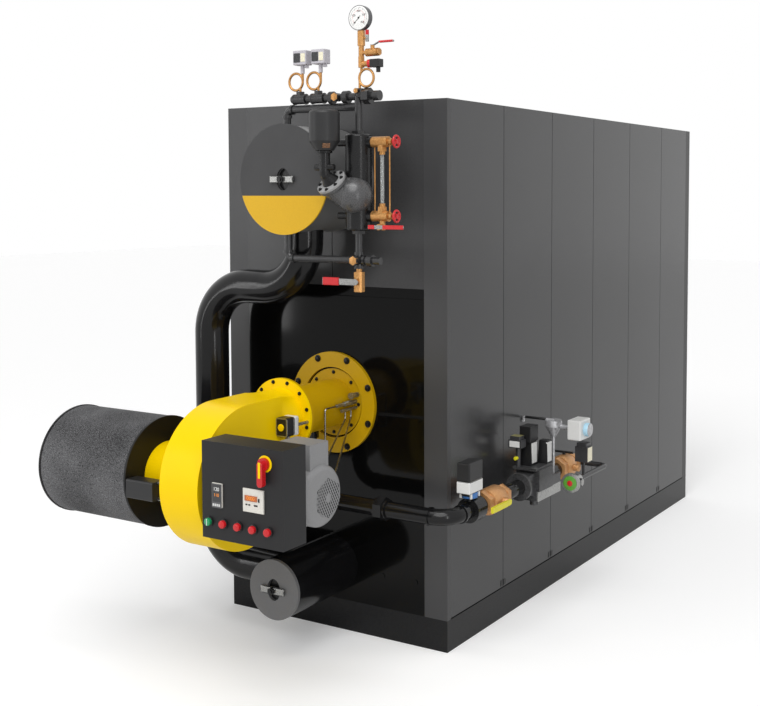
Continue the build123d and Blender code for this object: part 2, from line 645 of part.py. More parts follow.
def header_rod(x, radius, length):
    return rod((x, COLUMN_Y, MANIFOLD_Z), RIGHT, radius, length)


def manifold():
    header = manifold_rod(MANIFOLD_RADIUS)
    for x in TEE_XS:
        header += header_rod(x - TEE_HALF, TEE_RADIUS, 2 * TEE_HALF)
        header += header_rod(x - TEE_HALF, TEE_BAND_RADIUS, TEE_BAND_LENGTH)
        header += header_rod(x + TEE_HALF - TEE_BAND_LENGTH, TEE_BAND_RADIUS, TEE_BAND_LENGTH)
        header += hexagon((x, COLUMN_Y, MANIFOLD_Z), UP, BUSHING_WIDTH, BUSHING_TOP)
    header += header_rod(COUPLING_X, COUPLING_RADIUS, COUPLING_LENGTH)
    header += rod((FRONT_PLUG_X, COLUMN_Y, MANIFOLD_Z), FRONT, FRONT_PLUG_RADIUS, FRONT_PLUG_REACH)
    header += header_rod(SMALL_UNION_X, COUPLING_RADIUS, SMALL_UNION_LENGTH)
    riser = (GAUGE_RISER_X, COLUMN_Y, MANIFOLD_Z)
    header += rod(riser, UP, GAUGE_RISER_RADIUS, BUSHING_TOP)
    header += rod(along(riser, UP, GAUGE_PLUG_RISE), FRONT, GAUGE_PLUG_RADIUS, GAUGE_PLUG_REACH)
    header += hexagon((BIG_UNION_X, COLUMN_Y, MANIFOLD_Z), RIGHT, BIG_UNION_WIDTH, BIG_UNION_LENGTH)
    return header + header_rod(MANIFOLD_RIGHT_X - END_CAP_LENGTH, TEE_RADIUS, END_CAP_LENGTH)


# Siphons: each tube makes one loop before it goes up to its instrument
SIPHON_TUBE_RADIUS = 5.5
SIPHON_COIL_RADIUS = 37
SIPHON_COIL_RISE = 77
SIPHON_COIL_Z = MANIFOLD_Z + SIPHON_COIL_RISE
SIPHON_FOOT_Z = MANIFOLD_Z + BUSHING_TOP
SWITCH_SIPHON_SHIFT = 13
GAUGE_X = 403
GAUGE_COIL_SHIFT = 26
SWITCH_FOOT_RISE = 112
STACK_FOOT_RISE = 121
SWITCH_FOOT_Z = MANIFOLD_Z + SWITCH_FOOT_RISE
STACK_FOOT_Z = MANIFOLD_Z + STACK_FOOT_RISE


def siphon(coil_x, lower_x, upper_x, top_z):
    coil_plane = Plane((coil_x, COLUMN_Y, SIPHON_COIL_Z), z_dir=FRONT)
    coil = coil_plane * Torus(SIPHON_COIL_RADIUS, SIPHON_TUBE_RADIUS)
    lower_z = SIPHON_COIL_Z - math.sqrt(SIPHON_COIL_RADIUS ** 2 - (lower_x - coil_x) ** 2)
    upper_z = SIPHON_COIL_Z + math.sqrt(SIPHON_COIL_RADIUS ** 2 - (upper_x - coil_x) ** 2)
    coil += rod((lower_x, COLUMN_Y, SIPHON_FOOT_Z), UP, SIPHON_TUBE_RADIUS, lower_z - SIPHON_FOOT_Z)
    return coil + rod((upper_x, COLUMN_Y, upper_z), UP, SIPHON_TUBE_RADIUS, top_z - upper_z)


def siphons():
    loops = []
    for x in TEE_XS:
        stem_x = x + SWITCH_SIPHON_SHIFT
        loops.append(siphon(stem_x - SIPHON_COIL_RADIUS, x, stem_x, SWITCH_FOOT_Z))
    gauge_coil_x = GAUGE_X + GAUGE_COIL_SHIFT
    loops.append(siphon(gauge_coil_x, GAUGE_RISER_X, GAUGE_X, STACK_FOOT_Z))
    return Compound(loops)


# Two pressure switches
SWITCH_WIDTH = 72
SWITCH_DEPTH = 47
SWITCH_HEIGHT = 63
SWITCH_ROUND = 4
SWITCH_STEM_RADIUS = 9
SWITCH_STEM_LENGTH = 36
SWITCH_GLAND_SHIFT = 24
SWITCH_GLAND_RADIUS = 9
SWITCH_GLAND_LENGTH = 13


def pressure_switch(x):
    foot = (x, COLUMN_Y, SWITCH_FOOT_Z)
    middle = along(foot, UP, SWITCH_STEM_LENGTH + SWITCH_HEIGHT * HALF)
    box = Pos(*middle) * Box(SWITCH_WIDTH, SWITCH_DEPTH, SWITCH_HEIGHT)
    box = fillet(box.edges(), SWITCH_ROUND)
    box += rod(foot, UP, SWITCH_STEM_RADIUS, SWITCH_STEM_LENGTH + SWITCH_ROUND)
    gland = along(along(foot, UP, SWITCH_STEM_LENGTH + SWITCH_ROUND), RIGHT, SWITCH_GLAND_SHIFT)
    return box + rod(gland, DOWN, SWITCH_GLAND_RADIUS, SWITCH_GLAND_LENGTH + SWITCH_ROUND)


def pressure_switches():
    return Compound([pressure_switch(x + SWITCH_SIPHON_SHIFT) for x in TEE_XS])


# Pressure transmitter with its plug, screwed into the side of the gauge fittings
SENSOR_RISE = 136
SENSOR_RADIUS = 12
SENSOR_NECK_END_X = 438
SENSOR_RING_RADIUS = 17
SENSOR_RING_END_X = 456
SENSOR_PLUG_END_X = 504
SENSOR_PLUG_WIDTH = 32
SENSOR_TAIL_RADIUS = 9
SENSOR_TAIL_DROP = 38
SENSOR_TAIL_SHIFT = 14
SENSOR_Z = MANIFOLD_Z + SENSOR_RISE


def pressure_transmitter():
    axis = (GAUGE_X, COLUMN_Y, SENSOR_Z)
    sensor = rod(axis, RIGHT, SENSOR_RADIUS, SENSOR_NECK_END_X - GAUGE_X)
    sensor += rod((SENSOR_NECK_END_X, COLUMN_Y, SENSOR_Z), RIGHT, SENSOR_RING_RADIUS,
                  SENSOR_RING_END_X - SENSOR_NECK_END_X)
    half = SENSOR_PLUG_WIDTH * HALF
    sensor += block(SENSOR_RING_END_X, SENSOR_PLUG_END_X, COLUMN_Y - half, COLUMN_Y + half, SENSOR_Z - half,
                    SENSOR_Z + half)
    tail = (SENSOR_PLUG_END_X - SENSOR_TAIL_SHIFT, COLUMN_Y, SENSOR_Z)
    return sensor + rod(tail, DOWN, SENSOR_TAIL_RADIUS, SENSOR_TAIL_DROP)


# Gauge fittings: a brass stack with a test valve, a small bleed cock and the gauge on top
STACK_RADIUS = 12
STACK_HEX_WIDTH = 25
STACK_HEX_HEIGHT = 46
STACK_NECK_HEIGHT = 46
STACK_BODY_WIDTH = 30
STACK_BODY_DEPTH = 26
STACK_BODY_HEIGHT = 63
STACK_BODY_CHAMFER = 6
GAUGE_NECK_RADIUS = 8
GAUGE_NECK_DEPTH = 8
TEST_VALVE_RISE = 183
TEST_VALVE_RADIUS = 17
TEST_VALVE_START_X = 431
TEST_VALVE_END_X = 490
TEST_VALVE_NECK_RADIUS = 8
TEST_NUT_WIDTH = 28
TEST_NUT_LENGTH = 8
TEST_LEVER_X = 461
TEST_BONNET_RADIUS = 9
TEST_BONNET_RISE = 29
TEST_STEM_RADIUS = 4
TEST_STEM_DEPTH = 20
TEST_LEVER_WIDTH = 12
TEST_LEVER_THICKNESS = 3
TEST_LEVER_HEEL = 8
TEST_LEVER_FLAT = 8
TEST_LEVER_BEND_X = 494
TEST_LEVER_BEND_RISE = 11
TEST_LEVER_TIP_X = 567
TEST_SLEEVE_THICKNESS = 7
BLEED_RISE = 244
BLEED_X = 434
BLEED_NECK_RADIUS = 5
BLEED_RADIUS = 7
BLEED_DROP = 14
BLEED_HEIGHT = 48
TEST_VALVE_Z = MANIFOLD_Z + TEST_VALVE_RISE
BLEED_Z = MANIFOLD_Z + BLEED_RISE
STACK_BODY_Z = STACK_FOOT_Z + STACK_HEX_HEIGHT + STACK_NECK_HEIGHT
GAUGE_FOOT_Z = STACK_BODY_Z + STACK_BODY_HEIGHT
LEVER_Z = TEST_VALVE_Z + TEST_BONNET_RISE


def gauge_fittings():
    foot = (GAUGE_X, COLUMN_Y, STACK_FOOT_Z)
    stack = hexagon(foot, UP, STACK_HEX_WIDTH, STACK_HEX_HEIGHT)
    stack += rod(foot, UP, STACK_RADIUS, STACK_HEX_HEIGHT + STACK_NECK_HEIGHT)
    body = Pos(GAUGE_X, COLUMN_Y, STACK_BODY_Z + STACK_BODY_HEIGHT * HALF) * Box(
        STACK_BODY_WIDTH, STACK_BODY_DEPTH, STACK_BODY_HEIGHT)
    stack += chamfer(body.edges().filter_by(Axis.Z), STACK_BODY_CHAMFER)
    stack += rod((GAUGE_X, COLUMN_Y, GAUGE_FOOT_Z), UP, GAUGE_NECK_RADIUS, GAUGE_NECK_DEPTH)
    stack += rod((GAUGE_X, COLUMN_Y, TEST_VALVE_Z), RIGHT, TEST_VALVE_NECK_RADIUS,
                 TEST_VALVE_START_X - GAUGE_X)
    stack += rod((TEST_VALVE_START_X, COLUMN_Y, TEST_VALVE_Z), RIGHT, TEST_VALVE_RADIUS,
                 TEST_VALVE_END_X - TEST_VALVE_START_X)
    stack += hexagon((TEST_VALVE_END_X, COLUMN_Y, TEST_VALVE_Z), RIGHT, TEST_NUT_WIDTH, TEST_NUT_LENGTH)
    stack += rod((TEST_LEVER_X, COLUMN_Y, TEST_VALVE_Z), UP, TEST_BONNET_RADIUS, TEST_BONNET_RISE)
    stack += rod((GAUGE_X, COLUMN_Y, BLEED_Z), RIGHT, BLEED_NECK_RADIUS, BLEED_X - GAUGE_X)
    stack += rod((BLEED_X, COLUMN_Y, BLEED_Z - BLEED_DROP), UP, BLEED_RADIUS, BLEED_HEIGHT)
    socket = (TEST_LEVER_X, COLUMN_Y, LEVER_Z + CUT_OVERRUN)
    stack -= rod(socket, DOWN, TEST_STEM_RADIUS + RUNNING_GAP, TEST_STEM_DEPTH + CUT_OVERRUN)
    return stack + pressure_transmitter()


def gauge_test_lever():
    middle_z = LEVER_Z + TEST_LEVER_THICKNESS * HALF
    bend = (TEST_LEVER_BEND_X, middle_z + TEST_LEVER_BEND_RISE)
    route = Polyline((TEST_LEVER_X - TEST_LEVER_HEEL, middle_z), (TEST_LEVER_X + TEST_LEVER_FLAT, middle_z),
                     bend,
                     (TEST_LEVER_TIP_X, bend[1]))
    side = Plane((0, COLUMN_Y - TEST_LEVER_WIDTH * HALF, 0), x_dir=RIGHT, z_dir=FRONT)
    strip = extrude(side * trace(route, TEST_LEVER_THICKNESS), -TEST_LEVER_WIDTH)
    sleeve_half = TEST_SLEEVE_THICKNESS * HALF
    strip += block(TEST_LEVER_BEND_X, TEST_LEVER_TIP_X, COLUMN_Y - TEST_LEVER_WIDTH * HALF,
                   COLUMN_Y + TEST_LEVER_WIDTH * HALF, bend[1] - sleeve_half, bend[1] + sleeve_half)
    return strip + rod((TEST_LEVER_X, COLUMN_Y, middle_z), DOWN, TEST_STEM_RADIUS, TEST_STEM_DEPTH)


# Pressure gauge
GAUGE_RADIUS = 53
GAUGE_DEPTH = 30
GAUGE_BEZEL_WIDTH = 5
GAUGE_BEZEL_DEPTH = 6
GAUGE_BACK_ROUND = 6
GAUGE_FRONT_SHARE = 0.6
GAUGE_Z = GAUGE_FOOT_Z + GAUGE_RADIUS


def pressure_gauge():
    front = (GAUGE_X, COLUMN_Y - GAUGE_DEPTH * GAUGE_FRONT_SHARE, GAUGE_Z)
    case = rod(front, BACK, GAUGE_RADIUS, GAUGE_DEPTH)
    case = fillet(case.edges().group_by(Axis.Y)[-1], GAUGE_BACK_ROUND)
    case -= rod(front, BACK, GAUGE_RADIUS - GAUGE_BEZEL_WIDTH, GAUGE_BEZEL_DEPTH)
    neck_start = (GAUGE_X, COLUMN_Y, GAUGE_FOOT_Z - CUT_OVERRUN)
    return case - rod(neck_start, UP, GAUGE_NECK_RADIUS, GAUGE_NECK_DEPTH + CUT_OVERRUN)


# Burner head: mounting ring, blast tube and flanges
MOUNT_RADIUS = 240
MOUNT_OPENING_RADIUS = 168
MOUNT_THICKNESS = 18
TUBE_RADIUS = 112
HEAD_FLANGE_RADIUS = 160
HEAD_FLANGE_THICKNESS = 8
TUBE_END_REACH = 390
MID_FLANGE_RADIUS = 166
MID_FLANGE_THICKNESS = 13


def burner_point(reach):
    return (BURNER_X, FRONT_Y - reach, BURNER_Z)


def burner_mounting_ring():
    return ring(burner_point(0), FRONT, MOUNT_RADIUS, MOUNT_OPENING_RADIUS, MOUNT_THICKNESS)


def blast_tube():
    tube = rod(burner_point(0), FRONT, HEAD_FLANGE_RADIUS, HEAD_FLANGE_THICKNESS)
    tube += rod(burner_point(0), FRONT, TUBE_RADIUS, TUBE_END_REACH)
    return tube + rod(burner_point(TUBE_END_REACH - MID_FLANGE_THICKNESS), FRONT, MID_FLANGE_RADIUS,
                      MID_FLANGE_THICKNESS)


# Pilot burner, flame rod and sight port on the head flange
PILOT_DX = 126
PILOT_DZ = 14
PILOT_BASE_RADIUS = 10
PILOT_BASE_LENGTH = 30
PILOT_BODY_RADIUS = 12
PILOT_BODY_LENGTH = 62
PILOT_TIP_RADIUS = 8
PILOT_TIP_LENGTH = 57
FLAME_ROD_DX = 130
FLAME_ROD_DZ = -14
FLAME_ROD_RADIUS = 7
FLAME_ROD_LENGTH = 118
SIGHT_DX = 136
SIGHT_DZ = 47
SIGHT_RADIUS = 12
SIGHT_LENGTH = 54
SIGHT_CAP_RADIUS = 15
SIGHT_CAP_LENGTH = 10
PILOT_END = HEAD_FLANGE_THICKNESS + PILOT_BASE_LENGTH + PILOT_BODY_LENGTH + PILOT_TIP_LENGTH


def head_point(dx, dz, reach):
    return (BURNER_X + dx, FRONT_Y - reach, BURNER_Z + dz)


def burner_pilot():
    reach = HEAD_FLANGE_THICKNESS
    steps = [(PILOT_BASE_RADIUS, PILOT_BASE_LENGTH), (PILOT_BODY_RADIUS, PILOT_BODY_LENGTH),
             (PILOT_TIP_RADIUS, PILOT_TIP_LENGTH)]
    sections = []
    for radius, length in steps:
        sections.append(rod(head_point(PILOT_DX, PILOT_DZ, reach), FRONT, radius, length))
        reach += length
    pilot = sections[0] + sections[1] + sections[2]
    flame_rod = rod(head_point(FLAME_ROD_DX, FLAME_ROD_DZ, HEAD_FLANGE_THICKNESS), FRONT, FLAME_ROD_RADIUS,
                    FLAME_ROD_LENGTH)
    return [*pilot.solids(), flame_rod]


def burner_sight_port():
    port = rod(head_point(SIGHT_DX, SIGHT_DZ, HEAD_FLANGE_THICKNESS), FRONT, SIGHT_RADIUS, SIGHT_LENGTH)
    cap = head_point(SIGHT_DX, SIGHT_DZ, HEAD_FLANGE_THICKNESS + SIGHT_LENGTH - SIGHT_CAP_LENGTH)
    return port + rod(cap, FRONT, SIGHT_CAP_RADIUS, SIGHT_CAP_LENGTH)


def burner_fittings():
    return Compound([*burner_pilot(), *burner_sight_port().solids(), *air_pressure_switch().solids()])


# Fan: a scroll wrapped by arcs of growing radius, leading through a square-to-round neck to the blast tube
FAN_SETBACK = 755
FAN_DROP = 219
SCROLL_LEFT_X = -92
SCROLL_RIGHT_X = 112
SCROLL_TOP_RISE = 110
SCROLL_FRONT_REACH = 1045
SCROLL_BOTTOM_DROP = 497
SCROLL_FRONT_DROP = 203
SCROLL_BACK_DROP = 235
CUTOFF_RADIUS = 235
OUTLET_HEIGHT = 221
OUTLET_REACH = 520
NECK_END_RADIUS = 125
INLET_RADIUS = 131
INLET_FLARE_RADIUS = 165
INLET_FLARE_LENGTH = 50
INLET_START_X = -336
FAN_Y = FRONT_Y - FAN_SETBACK
FAN_Z = BURNER_Z - FAN_DROP
SCROLL_TOP_Z = BURNER_Z + SCROLL_TOP_RISE
SCROLL_BOTTOM_Z = BURNER_Z - SCROLL_BOTTOM_DROP
SCROLL_FRONT_Z = BURNER_Z - SCROLL_FRONT_DROP
SCROLL_BACK_Z = BURNER_Z - SCROLL_BACK_DROP
SCROLL_FRONT_Y = FRONT_Y - SCROLL_FRONT_REACH
OUTLET_Y = FRONT_Y - OUTLET_REACH


def scroll_profile():
    top_radius = SCROLL_TOP_Z - SCROLL_FRONT_Z
    bottom_radius = SCROLL_FRONT_Z - SCROLL_BOTTOM_Z
    back_radius = SCROLL_BACK_Z - SCROLL_BOTTOM_Z
    bottom_y = SCROLL_FRONT_Y + bottom_radius
    cutoff_y = bottom_y + back_radius - CUTOFF_RADIUS
    outlet_bottom_z = SCROLL_TOP_Z - OUTLET_HEIGHT
    cutoff_angle = math.degrees(math.asin((outlet_bottom_z - SCROLL_BACK_Z) / CUTOFF_RADIUS))
    top = CenterArc((SCROLL_FRONT_Y + top_radius, SCROLL_FRONT_Z), top_radius, QUARTER_TURN, QUARTER_TURN)
    bottom = CenterArc((bottom_y, SCROLL_FRONT_Z), bottom_radius, 2 * QUARTER_TURN, QUARTER_TURN)
    back = CenterArc((bottom_y, SCROLL_BACK_Z), back_radius, -QUARTER_TURN, QUARTER_TURN)
    cutoff = CenterArc((cutoff_y, SCROLL_BACK_Z), CUTOFF_RADIUS, 0, cutoff_angle)
    outlet_low = (OUTLET_Y, outlet_bottom_z)
    outlet_high = (OUTLET_Y, SCROLL_TOP_Z)
    outlet = Polyline(cutoff @ 1, outlet_low, outlet_high, top @ 0)
    return make_face(Curve() + [top, bottom, back, cutoff, outlet])


def fan_housing():
    width = SCROLL_RIGHT_X - SCROLL_LEFT_X
    side = Plane((SCROLL_LEFT_X, 0, 0), x_dir=BACK, z_dir=RIGHT)
    housing = extrude(side * scroll_profile(), width)
    outlet = Plane((BURNER_X, OUTLET_Y, SCROLL_TOP_Z - OUTLET_HEIGHT * HALF), x_dir=RIGHT, z_dir=BACK)
    end = burner_point(TUBE_END_REACH + MID_FLANGE_THICKNESS)
    end_plane = Plane(end, x_dir=RIGHT, z_dir=BACK)
    housing += loft([outlet * Rectangle(width, OUTLET_HEIGHT), end_plane * Circle(NECK_END_RADIUS)])
    housing += rod(end, BACK, MID_FLANGE_RADIUS, MID_FLANGE_THICKNESS)
    housing += rod((INLET_START_X, FAN_Y, FAN_Z), RIGHT, INLET_RADIUS, SCROLL_LEFT_X - INLET_START_X)
    flare_start = Plane((SCROLL_LEFT_X - INLET_FLARE_LENGTH, FAN_Y, FAN_Z), z_dir=RIGHT)
    flare_end = Plane((SCROLL_LEFT_X, FAN_Y, FAN_Z), z_dir=RIGHT)
    return housing + loft([flare_start * Circle(INLET_RADIUS), flare_end * Circle(INLET_FLARE_RADIUS)])


# Air pressure switch on the side of the fan neck, piped to the neck flange
AIR_SWITCH_WIDTH = 60
AIR_SWITCH_NEAR_REACH = 560
AIR_SWITCH_FAR_REACH = 480
AIR_SWITCH_LOW = 54
AIR_SWITCH_HEIGHT = 80
AIR_SWITCH_ROUND = 10
AIR_DIAL_RADIUS = 15
AIR_DIAL_DEPTH = 5
AIR_GLAND_RADIUS = 10
AIR_GLAND_DROP = 26
AIR_TUBE_RADIUS = 7
AIR_TUBE_SHIFT = 12


def air_pressure_switch():
    far_x = SCROLL_RIGHT_X + AIR_SWITCH_WIDTH
    near_y = FRONT_Y - AIR_SWITCH_NEAR_REACH
    far_y = FRONT_Y - AIR_SWITCH_FAR_REACH
    low_z = BURNER_Z - AIR_SWITCH_LOW
    box = block(SCROLL_RIGHT_X, far_x, near_y, far_y, low_z, low_z + AIR_SWITCH_HEIGHT)
    box = rounded(box, Axis.Y, AIR_SWITCH_ROUND)
    middle_x = SCROLL_RIGHT_X + AIR_SWITCH_WIDTH * HALF
    middle_z = low_z + AIR_SWITCH_HEIGHT * HALF
    box += rod((middle_x, near_y, middle_z), FRONT, AIR_DIAL_RADIUS, AIR_DIAL_DEPTH)
    box += rod((middle_x, (near_y + far_y) * HALF, low_z), DOWN, AIR_GLAND_RADIUS, AIR_GLAND_DROP)
    tube_start = (far_x - AIR_TUBE_SHIFT, far_y, middle_z)
    box += rod(tube_start, BACK, AIR_TUBE_RADIUS, FRONT_Y - TUBE_END_REACH - MID_FLANGE_THICKNESS - far_y)
    return box - fan_housing()


# Silencer on the fan inlet
SILENCER_LEFT_X = -868
SILENCER_RADIUS = 238
SILENCER_RIM_RADIUS = 241.5
SILENCER_RIM = 10


def silencer_body():
    return rod((SILENCER_LEFT_X + SILENCER_RIM, FAN_Y, FAN_Z), RIGHT, SILENCER_RADIUS,
               INLET_START_X - SILENCER_LEFT_X - 2 * SILENCER_RIM)


def silencer_end_plates():
    left = rod((SILENCER_LEFT_X, FAN_Y, FAN_Z), RIGHT, SILENCER_RIM_RADIUS, SILENCER_RIM)
    return Compound([left, rod((INLET_START_X, FAN_Y, FAN_Z), LEFT, SILENCER_RIM_RADIUS, SILENCER_RIM)])


# Fan motor: ribbed body, fan cowl with a dished end, terminal box and foot
MOTOR_END_X = 513
MOTOR_RADIUS = 112
MOTOR_ROOT_RADIUS = 102
MOTOR_RIBS = 32
MOTOR_RIB_ROOT = 4
MOTOR_RIB_THICKNESS = 4
MOTOR_COWL_RADIUS = 125
MOTOR_COWL_LENGTH = 115
MOTOR_COWL_ROUND = 22
MOTOR_FLANGE_THICKNESS = 15
JUNCTION_LEFT_X = 330
JUNCTION_RIGHT_X = 495
JUNCTION_WIDTH = 120
JUNCTION_RISE = 212
JUNCTION_ROUND = 6
FOOT_THICKNESS = 10
FOOT_WIDTH = 200
FOOT_NECK_WIDTH = 100
FOOT_DROP = 148
COWL_START_X = MOTOR_END_X - MOTOR_COWL_LENGTH


def motor_point(x):
    return (x, FAN_Y, FAN_Z)


def fan_motor():
    body_length = COWL_START_X - SCROLL_RIGHT_X
    body = rod(motor_point(SCROLL_RIGHT_X), RIGHT, MOTOR_ROOT_RADIUS, body_length)
    rib_middle = (MOTOR_ROOT_RADIUS + MOTOR_RADIUS) * HALF - MOTOR_RIB_ROOT
    rib = Rectangle(MOTOR_RADIUS - MOTOR_ROOT_RADIUS + 2 * MOTOR_RIB_ROOT, MOTOR_RIB_THICKNESS)
    ribs = Sketch() + PolarLocations(rib_middle, MOTOR_RIBS) * rib
    body += extrude(Plane(motor_point(SCROLL_RIGHT_X), z_dir=RIGHT) * ribs, body_length)
    body += rod(motor_point(SCROLL_RIGHT_X), RIGHT, MOTOR_COWL_RADIUS, MOTOR_FLANGE_THICKNESS)
    cowl = rod(motor_point(COWL_START_X), RIGHT, MOTOR_COWL_RADIUS, MOTOR_COWL_LENGTH)
    cowl = fillet(cowl.edges().group_by(Axis.X)[-1], MOTOR_COWL_ROUND)
    body += cowl
    foot_z = FAN_Z - FOOT_DROP
    body += block(JUNCTION_LEFT_X, COWL_START_X, FAN_Y - FOOT_WIDTH * HALF, FAN_Y + FOOT_WIDTH * HALF,
                  foot_z,
                  foot_z + FOOT_THICKNESS)
    body += block(JUNCTION_LEFT_X, COWL_START_X, FAN_Y - FOOT_NECK_WIDTH * HALF,
                  FAN_Y + FOOT_NECK_WIDTH * HALF,
                  foot_z, FAN_Z)
    return body + motor_junction_box()


def motor_junction_box():
    half_width = JUNCTION_WIDTH * HALF
    box = block(JUNCTION_LEFT_X, JUNCTION_RIGHT_X, FAN_Y - half_width, FAN_Y + half_width, FAN_Z,
                FAN_Z + JUNCTION_RISE)
    return rounded(box, Axis.Z, JUNCTION_ROUND)


# Pilot gas tube from the riser, and the two conduits from the pilot and flame rod to the motor
PILOT_TUBE_RADIUS = 4
PILOT_TUBE_BEND = 14
PILOT_TUBE_REACH = 244
PILOT_TUBE_DROP = 149
PILOT_BOSS_RADIUS = 12
PILOT_BOSS_REACH = 56
CONDUIT_RADIUS = 4
CONDUIT_BEND = 16
CONDUIT_REACHES = (96, 52)
CONDUIT_DROP = 34
CONDUIT_END_XS = (408, 486)
CONDUIT_END_SHIFT = 105
CONDUIT_END_RISE = 48


def pilot_gas_tube():
    start = head_point(PILOT_DX, PILOT_DZ, PILOT_END)
    turn = head_point(PILOT_DX, PILOT_DZ, PILOT_TUBE_REACH)
    low = along(turn, DOWN, PILOT_TUBE_DROP + PILOT_DZ)
    end = (BURNER_X + PILOT_BOSS_RADIUS, low[1], low[2])
    tube = bent_pipe([start, turn, low, end], PILOT_TUBE_BEND, PILOT_TUBE_RADIUS)
    return tube - rod((BURNER_X, GAS_FRONT_Y, end[2]), FRONT, PILOT_BOSS_RADIUS, PILOT_BOSS_REACH)


def burner_conduits():
    motor = fan_motor()
    runs = []
    for reach, end_x in zip(CONDUIT_REACHES, CONDUIT_END_XS):
        start = head_point(FLAME_ROD_DX, FLAME_ROD_DZ - FLAME_ROD_RADIUS, reach)
        end = (end_x, FAN_Y + CONDUIT_END_SHIFT, FAN_Z + CONDUIT_END_RISE)
        run = bent_pipe([start, along(start, DOWN, CONDUIT_DROP), end], CONDUIT_BEND, CONDUIT_RADIUS)
        runs.append(run - motor)
    return runs


def burner_tubing():
    return Compound([pilot_gas_tube(), *burner_conduits()])


# Damper drive in front of the inlet duct, held by two arms from the scroll
DAMPER_LEFT_X = -328
DAMPER_RIGHT_X = -178
DAMPER_LOW_DROP = 62
DAMPER_HEIGHT = 80
DAMPER_FRONT_REACH = 245
DAMPER_BACK_REACH = 175
DAMPER_ROUND = 8
DAMPER_SHAFT_RADIUS = 10
DAMPER_ARM_RADIUS = 7
DAMPER_LOW_Z = FAN_Z - DAMPER_LOW_DROP
DAMPER_HIGH_Z = DAMPER_LOW_Z + DAMPER_HEIGHT


def damper_drive():
    box = block(DAMPER_LEFT_X, DAMPER_RIGHT_X, FAN_Y - DAMPER_FRONT_REACH, FAN_Y - DAMPER_BACK_REACH,
                DAMPER_LOW_Z, DAMPER_HIGH_Z)
    box = rounded(box, Axis.X, DAMPER_ROUND)
    middle = ((DAMPER_LEFT_X + DAMPER_RIGHT_X) * HALF, FAN_Y, (DAMPER_LOW_Z + DAMPER_HIGH_Z) * HALF)
    box += rod(middle, FRONT, DAMPER_SHAFT_RADIUS, DAMPER_BACK_REACH)
    box -= rod(motor_point(INLET_START_X), RIGHT, INLET_RADIUS, -INLET_START_X)
    arm_y = FAN_Y - (DAMPER_FRONT_REACH + DAMPER_BACK_REACH) * HALF
    for z in (DAMPER_LOW_Z + DAMPER_ARM_RADIUS, DAMPER_HIGH_Z - DAMPER_ARM_RADIUS):
        box += rod((DAMPER_RIGHT_X, arm_y, z), RIGHT, DAMPER_ARM_RADIUS, SCROLL_LEFT_X - DAMPER_RIGHT_X)
    return box


# Control panel with a hinged door
PANEL_LEFT_X = 153
PANEL_WIDTH = 402
PANEL_DROP = 138
PANEL_HEIGHT = 382
PANEL_FRONT_REACH = 1060
PANEL_BOX_DEPTH = 118
DOOR_THICKNESS = 20
HINGE_OFFSET = 6.5
HINGE_RADIUS = 6
HINGE_PIN_RADIUS = 3
HINGE_KNUCKLE = 24
HINGE_ARM = 6
HINGE_SHARES = (0.2, 0.8)
BOX_WALL = 2
PANEL_LOW_Z = FAN_Z - PANEL_DROP
PANEL_HIGH_Z = PANEL_LOW_Z + PANEL_HEIGHT
PANEL_FRONT_Y = FRONT_Y - PANEL_FRONT_REACH
DOOR_BACK_Y = PANEL_FRONT_Y + DOOR_THICKNESS
PANEL_BACK_Y = DOOR_BACK_Y + PANEL_BOX_DEPTH
PANEL_RIGHT_X = PANEL_LEFT_X + PANEL_WIDTH
HINGE_X = PANEL_LEFT_X - HINGE_OFFSET


def hinge_z(share):
    return PANEL_LOW_Z + PANEL_HEIGHT * share - HINGE_KNUCKLE * HALF


def panel_box():
    box = block(PANEL_LEFT_X, PANEL_RIGHT_X, DOOR_BACK_Y, PANEL_BACK_Y, PANEL_LOW_Z, PANEL_HIGH_Z)
    box -= block(PANEL_LEFT_X + BOX_WALL, PANEL_RIGHT_X - BOX_WALL, DOOR_BACK_Y - CUT_OVERRUN,
                 PANEL_BACK_Y - BOX_WALL, PANEL_LOW_Z + BOX_WALL, PANEL_HIGH_Z - BOX_WALL)
    for share in HINGE_SHARES:
        low = hinge_z(share)
        box += block(HINGE_X, PANEL_LEFT_X, DOOR_BACK_Y, DOOR_BACK_Y + HINGE_ARM, low, low + HINGE_KNUCKLE)
        box += rod((HINGE_X, DOOR_BACK_Y, low), UP, HINGE_RADIUS, HINGE_KNUCKLE)
        box -= rod((HINGE_X, DOOR_BACK_Y, low - CUT_OVERRUN), UP, HINGE_PIN_RADIUS + RUNNING_GAP,
                   HINGE_KNUCKLE + 2 * CUT_OVERRUN)
    return box


def panel_door():
    door = block(PANEL_LEFT_X, PANEL_RIGHT_X, PANEL_FRONT_Y, DOOR_BACK_Y, PANEL_LOW_Z, PANEL_HIGH_Z)
    for share in HINGE_SHARES:
        low = hinge_z(share)
        door += rod((HINGE_X, DOOR_BACK_Y, low - HINGE_ARM), UP, HINGE_PIN_RADIUS,
                    HINGE_KNUCKLE + 2 * HINGE_ARM)
        for arm_low in (low - HINGE_ARM, low + HINGE_KNUCKLE):
            door += block(HINGE_X, PANEL_LEFT_X, DOOR_BACK_Y - HINGE_ARM, DOOR_BACK_Y, arm_low,
                          arm_low + HINGE_ARM)
            door += rod((HINGE_X, DOOR_BACK_Y, arm_low), UP, HINGE_RADIUS, HINGE_ARM)
    socket = (DISCONNECT_X, PANEL_FRONT_Y, DISCONNECT_Z)
    return door - rod(socket, BACK, DISCONNECT_STEM_RADIUS + RUNNING_GAP, DOOR_THICKNESS)


